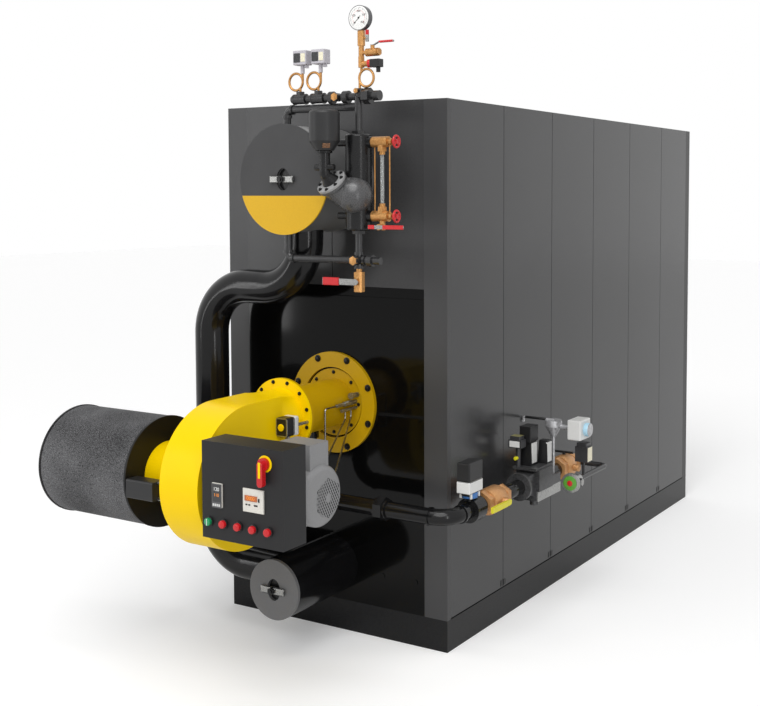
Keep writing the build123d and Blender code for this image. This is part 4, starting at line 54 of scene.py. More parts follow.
def finish(name, dark, light, grain, roughness, bump, metallic=0.0, specular=0.5, coat=0.0, spread=0.06):
    cloud_scale = 2.3
    cloud_share = 0.35
    tone_reach = 0.14
    sheen_reach = 0.15
    coat_roughness = 0.08
    relief_depth = 0.001
    material = bpy.data.materials.new(name)
    material.use_nodes = True
    nodes, links = material.node_tree.nodes, material.node_tree.links
    shader = nodes["Principled BSDF"]
    shader.inputs["Metallic"].default_value = metallic
    shader.inputs["Specular IOR Level"].default_value = specular
    shader.inputs["Coat Weight"].default_value = coat
    shader.inputs["Coat Roughness"].default_value = coat_roughness
    place = nodes.new("ShaderNodeTexCoord")

    def pattern(scale, detail):
        noise = nodes.new("ShaderNodeTexNoise")
        noise.inputs["Scale"].default_value = scale
        noise.inputs["Detail"].default_value = detail
        links.new(place.outputs["Object"], noise.inputs["Vector"])
        return noise.outputs["Fac"]

    fine = pattern(grain, 5)
    cloud = pattern(cloud_scale, 3)
    grain_part = nodes.new("ShaderNodeMath")
    grain_part.operation = "MULTIPLY"
    grain_part.inputs[1].default_value = 1 - cloud_share
    links.new(fine, grain_part.inputs[0])
    blend = nodes.new("ShaderNodeMath")
    blend.operation = "MULTIPLY_ADD"
    blend.inputs[1].default_value = cloud_share
    links.new(cloud, blend.inputs[0])
    links.new(grain_part.outputs[0], blend.inputs[2])
    ramp = nodes.new("ShaderNodeValToRGB")
    low_stop, high_stop = ramp.color_ramp.elements
    low_stop.position = 0.5 - tone_reach
    low_stop.color = tone(dark)
    high_stop.position = 0.5 + tone_reach
    high_stop.color = tone(light)
    links.new(blend.outputs[0], ramp.inputs["Fac"])
    links.new(ramp.outputs["Color"], shader.inputs["Base Color"])
    sheen = nodes.new("ShaderNodeMapRange")
    sheen.inputs["From Min"].default_value = 0.5 - sheen_reach
    sheen.inputs["From Max"].default_value = 0.5 + sheen_reach
    sheen.inputs["To Min"].default_value = max(0.02, roughness - spread)
    sheen.inputs["To Max"].default_value = min(1.0, roughness + spread)
    links.new(fine, sheen.inputs["Value"])
    links.new(sheen.outputs["Result"], shader.inputs["Roughness"])
    relief = nodes.new("ShaderNodeBump")
    relief.inputs["Strength"].default_value = bump
    relief.inputs["Distance"].default_value = relief_depth
    links.new(fine, relief.inputs["Height"])
    links.new(relief.outputs["Normal"], shader.inputs["Normal"])
    return material


def dress(material, *names):
    for name in names:
        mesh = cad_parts[name].data
        for index in range(len(mesh.materials)):
            mesh.materials[index] = material
        if not mesh.materials:
            mesh.materials.append(material)


dress(finish("skid_paint", "111112", "19191A", 500, 0.26, 0.05, specular=0.25), "base_skid")

# Casing: folded steel panels, screwed side by side to an insulated core, with posts at the corners.
# The panels have a satin charcoal powder coat. The posts and the front's upper panels get lighter copies of
# it, as painted light that makes up for the weaker light on the front.
charcoal = finish("charcoal_powder_coat", "29292A", "323233", 900, 0.22, 0.03, specular=0.5)
dress(charcoal, "side_panels", "roof_panels")
post_paint_lifted = finish("post_powder_coat_painted_light", "363637", "3F3F40", 900, 0.34, 0.03, specular=0.35)
dress(post_paint_lifted, "corner_posts")
front_paint_lifted = finish("front_powder_coat_painted_light", "303031", "383839", 900, 0.28, 0.03, specular=0.35)
dress(front_paint_lifted, "front_upper_panels")
black_paint = finish("satin_black_paint", "111112", "191919", 700, 0.30, 0.04, specular=0.3)
dress(black_paint, "casing_core", "rear_cover")

# Seam clips: small pressed steel plates, painted black, in a pair at the foot of each seam between two
# side panels. They are screwed on at either side of the seam, and the left side mirrors the right.


def alone(*pieces):
    if bpy.context.object and bpy.context.object.mode != "OBJECT":
        bpy.ops.object.mode_set(mode="OBJECT")
    bpy.ops.object.select_all(action="DESELECT")
    for piece in pieces:
        piece.select_set(True)
    bpy.context.view_layer.objects.active = pieces[0]


def settle(piece, name):
    alone(piece)
    bpy.ops.object.transform_apply(location=True, rotation=True, scale=True)
    piece.name = name
    piece.data.name = name
    return piece


def soften(piece, width):
    alone(piece)
    bpy.ops.object.mode_set(mode="EDIT")
    bpy.ops.mesh.select_all(action="SELECT")
    bpy.ops.mesh.bevel(offset=width, segments=2, affect="EDGES")
    bpy.ops.object.mode_set(mode="OBJECT")
    return piece


def slab(name, low, high, edge):
    bpy.ops.object.select_all(action="DESELECT")
    middle = [(a + b) / 2 for a, b in zip(low, high)]
    bpy.ops.mesh.primitive_cube_add(size=1, location=middle, scale=[b - a for a, b in zip(low, high)])
    return soften(settle(bpy.context.object, name), edge)


def joined(name, pieces):
    alone(*pieces)
    if len(pieces) > 1:
        bpy.ops.object.join()
    piece = bpy.context.object
    piece.name = name
    piece.data.name = name
    return piece


def repeat(pattern, name, spots, towards=(0, 0, 1)):
    turn = Vector(towards).to_track_quat("Z", "Y").to_matrix().to_4x4()
    twins = []
    for spot in spots:
        twin = bpy.data.objects.new(name, pattern.data.copy())
        twin.data.transform(Matrix.Translation(spot) @ turn)
        bpy.context.collection.objects.link(twin)
        twins.append(twin)
    return joined(name, twins)


def discard(piece):
    bpy.data.objects.remove(piece, do_unlink=True)


def fit(piece, material, body="boiler"):
    piece.data.materials.clear()
    piece.data.materials.append(material)
    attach(piece, body)
    return piece


front = -1.587
side = 0.633
skid_top = 0.152
casing_depth = 3.174
panel_count = 6
seam_pitch = casing_depth / panel_count
clip_height = 0.030
clip_middle_x = side - 0.003
clip_top = skid_top + 0.036
clip_from_seam = 0.014
clip_pattern = slab("clip_pattern", (-0.005, -0.011, -clip_height), (0.005, 0.011, 0.0), 0.0015)
clip_spots = []
for number in range(1, panel_count):
    for shift in (-clip_from_seam, clip_from_seam):
        clip_spots.append((clip_middle_x, front + seam_pitch * number + shift, clip_top))
clips = repeat(clip_pattern, "right_seam_clips", clip_spots)
discard(clip_pattern)
fit(clips, black_paint)
mirrored = clips.data.copy()
mirrored.transform(Matrix.Scale(-1, 4, (1, 0, 0)))
mirrored.flip_normals()
left_clips = bpy.data.objects.new("left_seam_clips", mirrored)
bpy.context.collection.objects.link(left_clips)
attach(left_clips, "boiler")

# Front plate and band: sheet steel with a gloss black enamel, screwed to the front of the casing,
# above and round the burner.
gloss_black = finish("black_enamel", "060606", "0A0A0A", 600, 0.08, 0.01, specular=0.15, spread=0.03)
dress(gloss_black, "front_lower_plate", "front_band")

# Roof connections: two flanged steel nozzles and the collar for the flue, welded in.
# They have a dull black paint that stands heat.
dress(finish("heatproof_black", "1B1B1C", "262627", 300, 0.5, 0.15), "roof_connections")

# Upper drum: a rolled steel shell with a turned end welded in, as the lower drum has. An insulated disc
# covers the end, speckled grey above and yellow at its foot.
shell_paint = finish("drum_shell_paint", "585858", "646464", 400, 0.38, 0.05)
dress(shell_paint, "upper_drum_shell")
dress(finish("speckled_grey_disc", "1C1C1D", "424243", 700, 0.62, 0.35), "upper_drum_cover")
disc_foot = finish("yellow_disc_foot", "C89C10", "D2A618", 350, 0.42, 0.05, specular=0.3)
dress(disc_foot, "upper_drum_cover_segment")
dress(finish("turned_drum_end", "5C5C5D", "6A6A6B", 500, 0.42, 0.06, specular=0.35), "drum_heads")

# Handhole covers: a black plate in each drum's end is pulled shut from outside by a stud and its nut.
# The nut bears on a plated steel yoke that lies level across the hole.
upper_drum_z = 2.142
lower_drum_z = 0.315
cover_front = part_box("handhole_covers")[0]
upper_yoke_face = front - 0.374
lower_yoke_face = cover_front.y + 0.016
yoke_half_length = 0.0657
yoke_half_height = 0.0157
yoke_thickness = 0.0146
yoke_skin = 0.0006
dress(black_paint, "handhole_covers")
bright_steel = finish("plated_steel", "848482", "9C9C9A", 220, 0.28, 0.05, metallic=0.9)
for name, face_y, middle_z in (("upper_yoke", upper_yoke_face, upper_drum_z),
                               ("lower_yoke", lower_yoke_face, lower_drum_z)):
    yoke = slab(name, (-yoke_half_length, face_y - yoke_skin, middle_z - yoke_half_height),
                (yoke_half_length, face_y + yoke_thickness, middle_z + yoke_half_height), 0.004)
    fit(yoke, bright_steel)

# Downcomer, lower drum and small boiler pipes: seamless steel tube, bent and welded to the drums, and
# painted satin black. The small pipes are screwed into iron fittings, blacked and a little rougher.
pipe_black = finish("satin_pipe_black", "0C0C0D", "131314", 300, 0.15, 0.04, specular=0.28)
dress(pipe_black, "downcomer_pipe", "lower_drum_shell")
fitting_black = finish("black_iron_fittings", "1E1E1F", "2C2C2D", 260, 0.22, 0.08, specular=0.5)
dress(fitting_black, "equalizing_pipes", "manifold")

# Float chamber: a cast iron bulb on the front of the water column, which narrows into a turned flange
# that looks forward and up. The column is painted black, and the chamber is left a sanded grey.


def bar(name, start, end, radius, edge, sides=32):
    bpy.ops.object.select_all(action="DESELECT")
    axis = Vector(end) - Vector(start)
    bpy.ops.mesh.primitive_cylinder_add(vertices=sides, radius=radius, depth=axis.length,
                                        location=(Vector(start) + Vector(end)) / 2,
                                        rotation=axis.to_track_quat("Z", "Y").to_euler())
    piece = settle(bpy.context.object, name)
    bpy.ops.object.mode_set(mode="EDIT")
    bpy.ops.mesh.select_mode(type="FACE")
    bpy.ops.mesh.select_all(action="DESELECT")
    bpy.ops.object.mode_set(mode="OBJECT")
    for face in piece.data.polygons:
        face.select = len(face.vertices) > 4
    bpy.ops.object.mode_set(mode="EDIT")
    bpy.ops.mesh.region_to_loop()
    bpy.ops.mesh.bevel(offset=edge, segments=2, affect="EDGES")
    bpy.ops.object.mode_set(mode="OBJECT")
    bpy.ops.object.shade_smooth_by_angle(angle=math.radians(35))
    return piece


def tapered(name, low, low_way, low_radius, high, high_way, high_radius):
    bpy.ops.object.select_all(action="DESELECT")
    bpy.ops.mesh.primitive_cylinder_add(vertices=64, radius=1, depth=2)
    piece = settle(bpy.context.object, name)
    for vertex in piece.data.vertices:
        at_low = vertex.co.z < 0
        middle, way, radius = (low, low_way, low_radius) if at_low else (high, high_way, high_radius)
        flat = Vector((vertex.co.x, vertex.co.y, 0)) * radius
        vertex.co = middle + way.to_track_quat("Z", "Y") @ flat
    alone(piece)
    bpy.ops.object.shade_smooth_by_angle(angle=math.radians(35))
    return piece


column_x = 0.386
column_y = front - 0.325
bulb_radius = 0.080
bulb_middle = Vector((column_x, column_y - 0.033, 2.072))
flange_middle = Vector((0.315, -2.005, 2.122))
flange_way = Vector((-0.189, -0.655, 0.731)).normalized()
flange_radius = 0.068
mouth = flange_middle - flange_way * 0.011
mouth_radius = 0.060
cast_black = finish("painted_casting", "0E0E0F", "161617", 260, 0.26, 0.07, specular=0.3)
dress(cast_black, "water_column")
chamber_grey = finish("sanded_casting", "3E3E3F", "4E4E4F", 220, 0.28, 0.10)
bpy.ops.object.select_all(action="DESELECT")
bpy.ops.mesh.primitive_uv_sphere_add(segments=64, ring_count=32, radius=bulb_radius, location=bulb_middle)
bulb = settle(bpy.context.object, "bulb")
bpy.ops.object.shade_smooth()
shoulder = tapered("shoulder", bulb_middle, (flange_middle - bulb_middle).normalized(), bulb_radius - 0.0003,
                   mouth, flange_way, mouth_radius)
chamber_flange = bar("flange", mouth - flange_way * 0.001, flange_middle, flange_radius, 0.002, sides=64)
chamber = joined("float_chamber_casting", [bulb, shoulder, chamber_flange])
fit(chamber, chamber_grey)
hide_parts("float_chamber")

# Float switch neck: a light grey ring lies on the chamber's flange, and eight screws clamp the foot of a
# black casting on it. Its neck bends up to a pair of lugs and a collar, which carry the switch box.


def hex_screw(width, height):
    head = bar("screw_pattern", (0, 0, 0), (0, 0, height), width / 2, height * 0.18, sides=6)
    washer = bar("washer_pattern", (0, 0, -0.0002), (0, 0, height * 0.25), width * 0.68, height * 0.05,
                 sides=24)
    return joined("screw_pattern", [head, washer])


def circle_spots(middle, across, upwards, radius, count, start):
    spots = []
    for number in range(count):
        turn = start + 2 * math.pi * number / count
        spots.append(Vector(middle) + Vector(across) * radius * math.cos(turn)
                     + Vector(upwards) * radius * math.sin(turn))
    return spots


def raised(point, height):
    return point + Vector((0, 0, height))


ring_start = flange_middle + flange_way * 0.0004
ring_end = flange_middle + flange_way * 0.0127
clamp_ring = bar("float_clamp_ring", ring_start, ring_end, flange_radius, 0.0015, sides=64)
fit(clamp_ring, finish("clamp_ring_paint", "868686", "969696", 200, 0.36, 0.12))
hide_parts("float_switch_neck")
neck_radius = 0.023
neck_bend = Vector((0.3039, -2.0435, 2.168))
lug_reach = Vector((0.048, 0, 0))
lug_middle = raised(neck_bend, 0.022)
path = bpy.data.curves.new("neck_path", "CURVE")
path.dimensions = "3D"
path.bevel_depth = neck_radius
path.bevel_resolution = 8
path.use_fill_caps = True
run = path.splines.new("BEZIER")
run.bezier_points.add(2)
stations = ((flange_middle + flange_way * 0.030, flange_way * 0.014),
            (raised(neck_bend, 0.006), Vector((0, 0, 0.016))),
            (raised(neck_bend, 0.0925), Vector((0, 0, 0.020))))
for point, (spot, reach) in zip(run.bezier_points, stations):
    point.co = spot
    point.handle_left = spot - reach
    point.handle_right = spot + reach
neck_curve = bpy.data.objects.new("neck_pipe", path)
bpy.context.collection.objects.link(neck_curve)
alone(neck_curve)
bpy.ops.object.convert(target="MESH")
neck_pipe = bpy.context.object
bpy.ops.object.shade_smooth_by_angle(angle=math.radians(50))
foot = tapered("foot", flange_middle + flange_way * 0.012, flange_way, 0.039,
               flange_middle + flange_way * 0.046, flange_way, neck_radius + 0.0002)
lugs = bar("lugs", lug_middle - lug_reach, lug_middle + lug_reach, 0.014, 0.002)
collar = bar("collar", raised(neck_bend, 0.081), raised(neck_bend, 0.0915), 0.033, 0.002, sides=48)
neck = joined("float_switch_neck_casting", [neck_pipe, foot, lugs, collar])
fit(neck, cast_black)
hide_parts("float_switch_neck")
screw_steel = finish("dark_screw_steel", "1A1A1B", "343435", 200, 0.35, 0.1, metallic=0.8)
flange_across = flange_way.cross(Vector((0, 0, 1))).normalized()
flange_up = flange_across.cross(flange_way).normalized()
float_screw = hex_screw(0.013, 0.007)
float_spots = circle_spots(ring_end, flange_across, flange_up, 0.0575, 8, 0.39)
float_screws = repeat(float_screw, "float_flange_screws", float_spots, flange_way)
fit(float_screws, screw_steel)
discard(float_screw)

# Float switch box: a round box of moulded black plastic, screwed down on the neck's collar.
# A small brown window, low on its side, shows the switch capsule.
box_black = finish("moulded_black_box", "1C1C1D", "262627", 500, 0.40, 0.12, specular=0.35)
dress(box_black, "float_switch_box")
window_reach = 0.0355
window_place = raised(neck_bend + Vector((window_reach, -window_reach, 0)), 0.112)
window = slab("capsule_window", (-0.016, -0.011, -0.004), (0.016, 0.011, 0.004), 0.0015)
window.data.transform(Matrix.Translation(window_place) @ Matrix.Rotation(math.radians(45), 4, "Z")
                      @ Matrix.Rotation(math.radians(122), 4, "X"))
fit(window, finish("brown_window", "5A3A22", "74502E", 160, 0.25, 0.04))

# Gauge glass: a clear glass tube, packed into two brass valves, with guard rods beside it.
# Each valve closes with a handwheel painted red.
brass = finish("worn_brass", "A07038", "C4925A", 120, 0.34, 0.15, metallic=0.7)
dress(brass, "gauge_glass_valves", "blowdown_valve", "siphons")
glass = bpy.data.materials.new("clear_tube_glass")
glass.use_nodes = True
glass_nodes, glass_links = glass.node_tree.nodes, glass.node_tree.links
glass_shader = glass_nodes["Principled BSDF"]
glass_shader.inputs["Base Color"].default_value = (0.93, 0.96, 0.95, 1)
glass_shader.inputs["Transmission Weight"].default_value = 0.85
glass_shader.inputs["Roughness"].default_value = 0.05
glass_shader.inputs["IOR"].default_value = 1.3
ripple_place = glass_nodes.new("ShaderNodeTexCoord")
ripple = glass_nodes.new("ShaderNodeTexNoise")
ripple.inputs["Scale"].default_value = 60
ripple_bump = glass_nodes.new("ShaderNodeBump")
ripple_bump.inputs["Strength"].default_value = 0.04
glass_links.new(ripple_place.outputs["Object"], ripple.inputs["Vector"])
glass_links.new(ripple.outputs["Fac"], ripple_bump.inputs["Height"])
glass_links.new(ripple_bump.outputs["Normal"], glass_shader.inputs["Normal"])
dress(glass, "gauge_glass")
red = finish("red_vinyl_paint", "B01018", "C81A20", 300, 0.32, 0.05)
dress(red, "upper_glass_handwheel", "lower_glass_handwheel")

# Levers of the glass drain, the blowdown valve and the gauge test cock: bent from plated steel strip,
# nutted on the stem, with a red vinyl grip dipped over the end that the hand takes.


def grip(name, low, high, edge, lever):
    return fit(slab(name, low, high, edge), red, lever)


dress(bright_steel, "glass_drain_handle", "blowdown_lever", "gauge_test_lever")
drain_low, drain_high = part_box("glass_drain_handle")
for name, start_x, end_x in (("glass_drain_grip_long", drain_low.x + 0.075, drain_high.x - 0.001),
                             ("glass_drain_grip_short", drain_low.x + 0.001, drain_low.x + 0.034)):
    grip(name, (start_x, drain_low.y - 0.0012, drain_low.z - 0.0008),
         (end_x, drain_low.y + 0.0065, drain_high.z + 0.0008), 0.002, "glass_drain_handle")
blow_low, blow_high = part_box("blowdown_lever")
grip("blowdown_grip", (blow_low.x + 0.0005, blow_low.y - 0.001, blow_low.z - 0.001),
     (blow_low.x + 0.085, blow_low.y + 0.012, blow_high.z + 0.001), 0.003, "blowdown_lever")
test_low, test_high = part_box("gauge_test_lever")
grip("gauge_test_grip", (0.496, test_low.y - 0.001, test_high.z - 0.008),
     (0.5665, test_high.y + 0.001, test_high.z + 0.0008), 0.0022, "gauge_test_lever")

# Pressure switches: two die-cast boxes with a lilac grey paint, each screwed on a coiled siphon.
# A dark window in the front shows the setting, beside a printed cream scale.
light_box = finish("lilac_grey_casting", "A9A6AC", "B9B6BC", 300, 0.38, 0.08)
dress(light_box, "pressure_switches")
window_black = finish("smoked_window", "17181A", "222326", 120, 0.12, 0.02, coat=0.5)
scale_cream = finish("cream_scale", "D8D2B8", "E6E0C8", 200, 0.45, 0.03)
switch_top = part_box("pressure_switches")[1].z
switch_face = column_y - 0.0235
windows, scales = [], []
for case_x in (0.088, 0.187):
    windows.append(slab("window", (case_x - 0.031, switch_face - 0.002, switch_top - 0.052),
                        (case_x + 0.004, switch_face + 0.002, switch_top - 0.012), 0.001))
    scales.append(slab("scale", (case_x + 0.008, switch_face - 0.0015, switch_top - 0.050),
                       (case_x + 0.031, switch_face + 0.002, switch_top - 0.014), 0.0006))
fit(joined("pressure_switch_windows", windows), window_black)
fit(joined("pressure_switch_scales", scales), scale_cream)

# Pressure gauge: a steel case screwed on top of the brass stack, with an enamelled white dial.
# The dial has a black outer scale with figures, a red inner scale and a black needle at zero.


def scale_turn(share):
    return math.radians(225 - 270 * share)


def dial_mark(name, inner, outer, width, thickness, turn):
    mark = slab(name, (inner, -width / 2, 0), (outer, width / 2, thickness), 0.0001)
    mark.data.transform(dial_plane @ Matrix.Rotation(turn, 4, "Z"))
    return mark


def lettering(words, size, thickness, place):
    bpy.ops.object.select_all(action="DESELECT")
    bpy.ops.object.text_add()
    text = bpy.context.object.data
    text.body = words
    text.size = size
    text.align_x = "CENTER"
    text.align_y = "CENTER"
    text.extrude = thickness
    bpy.ops.object.convert(target="MESH")
    letters = bpy.context.object
    letters.data.transform(Matrix.Translation(place) @ Matrix.Rotation(math.pi / 2, 4, "X"))
    return letters


dress(brass, "gauge_fittings")
dress(finish("gauge_case_steel", "4C4C4E", "666668", 300, 0.3, 0.06, metallic=0.6), "pressure_gauge")
gauge_low, gauge_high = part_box("pressure_gauge")
gauge_x, gauge_z = (gauge_low.x + gauge_high.x) / 2, (gauge_low.z + gauge_high.z) / 2
dial_front = gauge_low.y - 0.0006
dial_back = gauge_low.y + 0.0054
dial_plane = Matrix.Translation((gauge_x, dial_front, gauge_z)) @ Matrix.Rotation(math.pi / 2, 4, "X")
dial = bar("gauge_dial", (gauge_x, dial_back, gauge_z), (gauge_x, dial_front, gauge_z), 0.050, 0.0003,
           sides=64)
dial_white = finish("enamelled_dial", "DEDEDC", "E8E8E6", 200, 0.35, 0.01)
fit(dial, dial_white)
mark_count = 40
marks_to_figure = 5
mark_outer = 0.044
marks = []
for number in range(mark_count + 1):
    turn = scale_turn(number / mark_count)
    if number % marks_to_figure == 0:
        marks.append(dial_mark("mark", 0.0365, mark_outer, 0.0011, 0.0005, turn))
    else:
        marks.append(dial_mark("mark", 0.040, mark_outer, 0.0006, 0.0005, turn))
figure_count = 5
figure_radius = 0.028
for number in range(figure_count):
    turn = scale_turn(number / (figure_count - 1))
    place = (gauge_x + figure_radius * math.cos(turn), dial_front - 0.0002,
             gauge_z + figure_radius * math.sin(turn))
    marks.append(lettering(str(number * 100), 0.013, 0.0002, place))
needle = slab("needle", (-0.012, -0.0009, 0), (0.035, 0.0009, 0.0008), 0.0003)
needle.data.transform(Matrix.Translation((0, -0.0014, 0)) @ dial_plane
                      @ Matrix.Rotation(scale_turn(0), 4, "Z"))
hub = bar("needle_hub", (gauge_x, dial_front, gauge_z), (gauge_x, dial_front - 0.003, gauge_z), 0.004, 0.0005)
marks += [needle, hub]
ink = finish("dial_ink", "101010", "1A1A1A", 300, 0.5, 0.01)
fit(joined("gauge_dial_marks", marks), ink)
tick_count = 27
ticks = []
for number in range(tick_count + 1):
    ticks.append(dial_mark("tick", 0.0300, 0.0325, 0.0018, 0.0004, scale_turn(number / tick_count)))
fit(joined("gauge_inner_scale", ticks), red)

# Bleed cock, end plugs and pressure transmitter: small turned fittings screwed into the gauge stack, the
# header and the column. The cock has a bright sleeve and a red cap, and the plugs are hexagons of brass.
# The transmitter ends in a square black connector behind a red ring.
cock_radius = 0.0077
cock_foot = Vector((0.434, column_y, 2.7225))
cock_joint = raised(cock_foot, 0.0275)
cock_sleeve = bar("bleed_cock_sleeve", cock_foot, cock_joint, cock_radius, 0.0008)
fit(cock_sleeve, bright_steel)
cock_cap = bar("bleed_cock_cap", raised(cock_joint, 0.0005), raised(cock_joint, 0.0217), cock_radius, 0.0015)
fit(cock_cap, red)
end_plugs = []
for plug_x, plug_z, near, far, radius, edge in ((0.285, 2.493, 0.030, 0.0386, 0.0187, 0.0015),
                                                (0.394, 2.515, 0.022, 0.0326, 0.0117, 0.0012),
                                                (column_x, 1.792, 0.034, 0.0486, 0.0207, 0.0018)):
    end_plugs.append(bar("plug", (plug_x, column_y - near, plug_z), (plug_x, column_y - far, plug_z),
                         radius, edge, sides=6))
fit(joined("brass_end_plugs", end_plugs), brass)
plug_black = finish("connector_black", "121213", "1C1C1D", 400, 0.35, 0.08, specular=0.35)
sensor = Vector((0.4558, column_y, 2.629))
connector_half = Vector((0, 0.0168, 0.0168))
connector_length = Vector((0.049, 0, 0))
connector = slab("connector", sensor - connector_half, sensor + connector_half + connector_length, 0.0012)
lead_gland = Vector((0.490, column_y, sensor.z))
tail = bar("tail", raised(lead_gland, -0.014), raised(lead_gland, -0.0382), 0.0092, 0.001)
fit(joined("transmitter_plug", [connector, tail]), plug_black)
transmitter_ring = bar("transmitter_ring", sensor - Vector((0.0153, 0, 0)), sensor - Vector((0.0001, 0, 0)),
                       0.0175, 0.002)
fit(transmitter_ring, red)

# Burner: a steel blast tube with a flange at each end, enamelled yellow, bolted through a mounting ring
# into the front plate. Dark screws go round the ring, the burner head and both sides of the fan's flange.
yellow = finish("yellow_enamel", "EAC400", "F6CE00", 500, 0.34, 0.03, specular=0.12)
dress(yellow, "fan_housing")
# The blast tube and the mounting ring take a darker copy of the yellow enamel: painted shade, since less
# light falls on them than on the fan.
tube_yellow_painted_shade = finish("yellow_tube_enamel_painted_shade", "B08A00", "BE9600", 500, 0.36, 0.04, specular=0.3)
dress(tube_yellow_painted_shade, "burner_mounting_ring", "blast_tube")
burner_x = 0.010
burner_z = 1.094
sideways, upwards = Vector((1, 0, 0)), Vector((0, 0, 1))
ring_screw = hex_screw(0.024, 0.012)
flange_screw = hex_screw(0.013, 0.008)
screw_circles = ((ring_screw, 0.018, 0.220, 8, math.pi / 8, (0, -1, 0)),
                 (flange_screw, 0.008, 0.143, 8, 0, (0, -1, 0)),
                 (flange_screw, 0.403, 0.152, 12, math.pi / 12, (0, -1, 0)),
                 (flange_screw, 0.377, 0.152, 12, math.pi / 12, (0, 1, 0)))
bolts = []
for screw, reach, radius, count, start, towards in screw_circles:
    spots = circle_spots((burner_x, front - reach, burner_z), sideways, upwards, radius, count, start)
    bolts.append(repeat(screw, "bolts", spots, towards))
fit(joined("burner_bolts", bolts), screw_steel)
discard(ring_screw)

# Fan side plate: the scroll is rolled from sheet between two flat sides, and a round yellow plate closes
# the right one. Eight dark screws hold it along its edge.
plate_middle = Vector((0.112, front - 0.755, 0.875))
plate_face = plate_middle + Vector((0.004, 0, 0))
fan_plate = bar("fan_side_plate", plate_middle, plate_face, 0.185, 0.001, sides=96)
fit(fan_plate, yellow)
plate_spots = circle_spots(plate_face, (0, 1, 0), upwards, 0.170, 8, 0.2)
plate_screws = repeat(flange_screw, "fan_plate_screws", plate_spots, (1, 0, 0))
fit(plate_screws, screw_steel)
discard(flange_screw)

# Air switch, pilot burner and sight port: zinc-plated fittings with drawn steel tube and conduit.
# The switch is a pale grey case with a black cover screwed on its front, and a yellow setting dial.
dress(finish("drawn_tube_steel", "8E8C88", "AFADA8", 200, 0.28, 0.12, metallic=1.0), "burner_tubing")
dress(finish("zinc_fittings", "8A8A86", "A8A8A4", 150, 0.32, 0.15, metallic=0.9), "burner_fittings")
air_low = Vector((0.112, front - 0.560, 1.040))
air_high = Vector((0.172, front - 0.480, 1.120))
air_cover_depth = 0.052
case_skin = 0.0012
cover_skin = 0.0008
cover_back = air_low.y + air_cover_depth
air_case = slab("air_switch_case", (air_low.x - case_skin, cover_back, air_low.z - case_skin),
                (air_high.x + case_skin, air_high.y + case_skin, air_high.z + case_skin), 0.006)
pale_grey = finish("pale_grey_housing", "C4C4C2", "D2D2D0", 300, 0.38, 0.05)
fit(air_case, pale_grey)
air_cover = slab("air_switch_cover", (air_low.x - cover_skin, air_low.y - 0.001, air_low.z - cover_skin),
                 (air_high.x + cover_skin, cover_back - 0.0002, air_high.z + cover_skin), 0.008)
fit(air_cover, plug_black)
air_middle = (air_low + air_high) / 2
air_dial = bar("air_switch_dial", (air_middle.x, air_low.y - 0.001, air_middle.z),
               (air_middle.x, air_low.y - 0.0056, air_middle.z), 0.0156, 0.001)
fit(air_dial, yellow)

# Intake silencer: a drum of speckled acoustic foam, clamped between two plates with rolled rims.
# The plates are steel, painted a dull black.
foam = finish("speckled_foam", "060607", "828284", 330, 0.85, 1.0, specular=0.2)
dress(foam, "silencer_body")
plate_paint = finish("silencer_plate_paint", "101011", "181819", 400, 0.4, 0.06, specular=0.2)
dress(plate_paint, "silencer_end_plates")

# Fan motor: a ribbed casting in mid grey, bolted to the fan's right side, with a pressed steel cowl.
# The cowl's air inlet is a six-sided opening behind a crossed lattice with a hub.
motor_grey = finish("motor_paint", "7A7A7B", "868687", 350, 0.40, 0.08, specular=0.4)
dress(motor_grey, "fan_motor")
grille_painted_shade = finish("grille_shadow", "101010", "1A1A1A", 200, 0.7, 0.05)
# A dark six-sided disc fills the inlet behind the lattice as painted shade.
grille_middle = Vector((0.513, front - 0.725, 0.862))
opening = bar("motor_grille_shade_disc", grille_middle - Vector((0.002, 0, 0)),
              grille_middle + Vector((0.0006, 0, 0)), 0.082, 0.0003, sides=6)
fit(opening, grille_painted_shade)
strand_pitch = 0.0118
strands_each_side = 6
lattice_radius = 0.078
shortest_strand = 0.012
lattice = []
for lean in (-1, 1):
    slope = Vector((0, 0.5, 0.866 * lean))
    across = Vector((0, 0.866, -0.5 * lean))
    for number in range(-strands_each_side, strands_each_side + 1):
        shift = across * number * strand_pitch
        reach = math.sqrt(max(0.0, lattice_radius ** 2 - shift.length ** 2))
        if reach < shortest_strand:
            continue
        start = grille_middle + shift - slope * reach
        end = grille_middle + shift + slope * reach
        lattice.append(bar("strand", start, end, 0.0021, 0.0004, sides=8))
lattice.append(bar("hub", grille_middle, grille_middle + Vector((0.0025, 0, 0)), 0.020, 0.0005, sides=6))
fit(joined("motor_grille", lattice), motor_grey)

# Damper drive: a black plastic actuator beside the fan's intake, which turns the damper's spindle.
# Two plated steel arms carry it, screwed to the fan.
dress(box_black, "damper_drive")
arm_start = -0.177
arm_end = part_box("damper_drive")[1].x - 0.0005
arm_y = front - 0.965
arms = [bar("arm", (arm_start, arm_y, z), (arm_end, arm_y, z), 0.0077, 0.0005) for z in (0.820, 0.886)]
fit(joined("damper_arm_sleeves", arms), bright_steel)

# Control panel: a folded steel box on a bracket, with a hinged door, all in a fine black powder coat.
# The instruments go through cut-outs in the door, and the small one has a dark face, pale and amber figures
# and four keys. The large one has an amber display, a slot and three keys.
panel_paint = finish("panel_powder_coat", "1B1B1C", "242425", 900, 0.45, 0.05, specular=0.25)
dress(panel_paint, "panel_box", "panel_door", "panel_bracket")
dress(finish("instrument_case", "C9C6BE", "D6D3CB", 300, 0.4, 0.05), "panel_instruments")
door_y = front - 1.060
door_left = 0.153
door_foot = 0.737
instrument_root = 0.006


def door_slab(name, across, up, proud, edge):
    low = (door_left + across[0], door_y - proud, door_foot + up[0])
    high = (door_left + across[1], door_y - instrument_root, door_foot + up[1])
    return slab(name, low, high, edge)


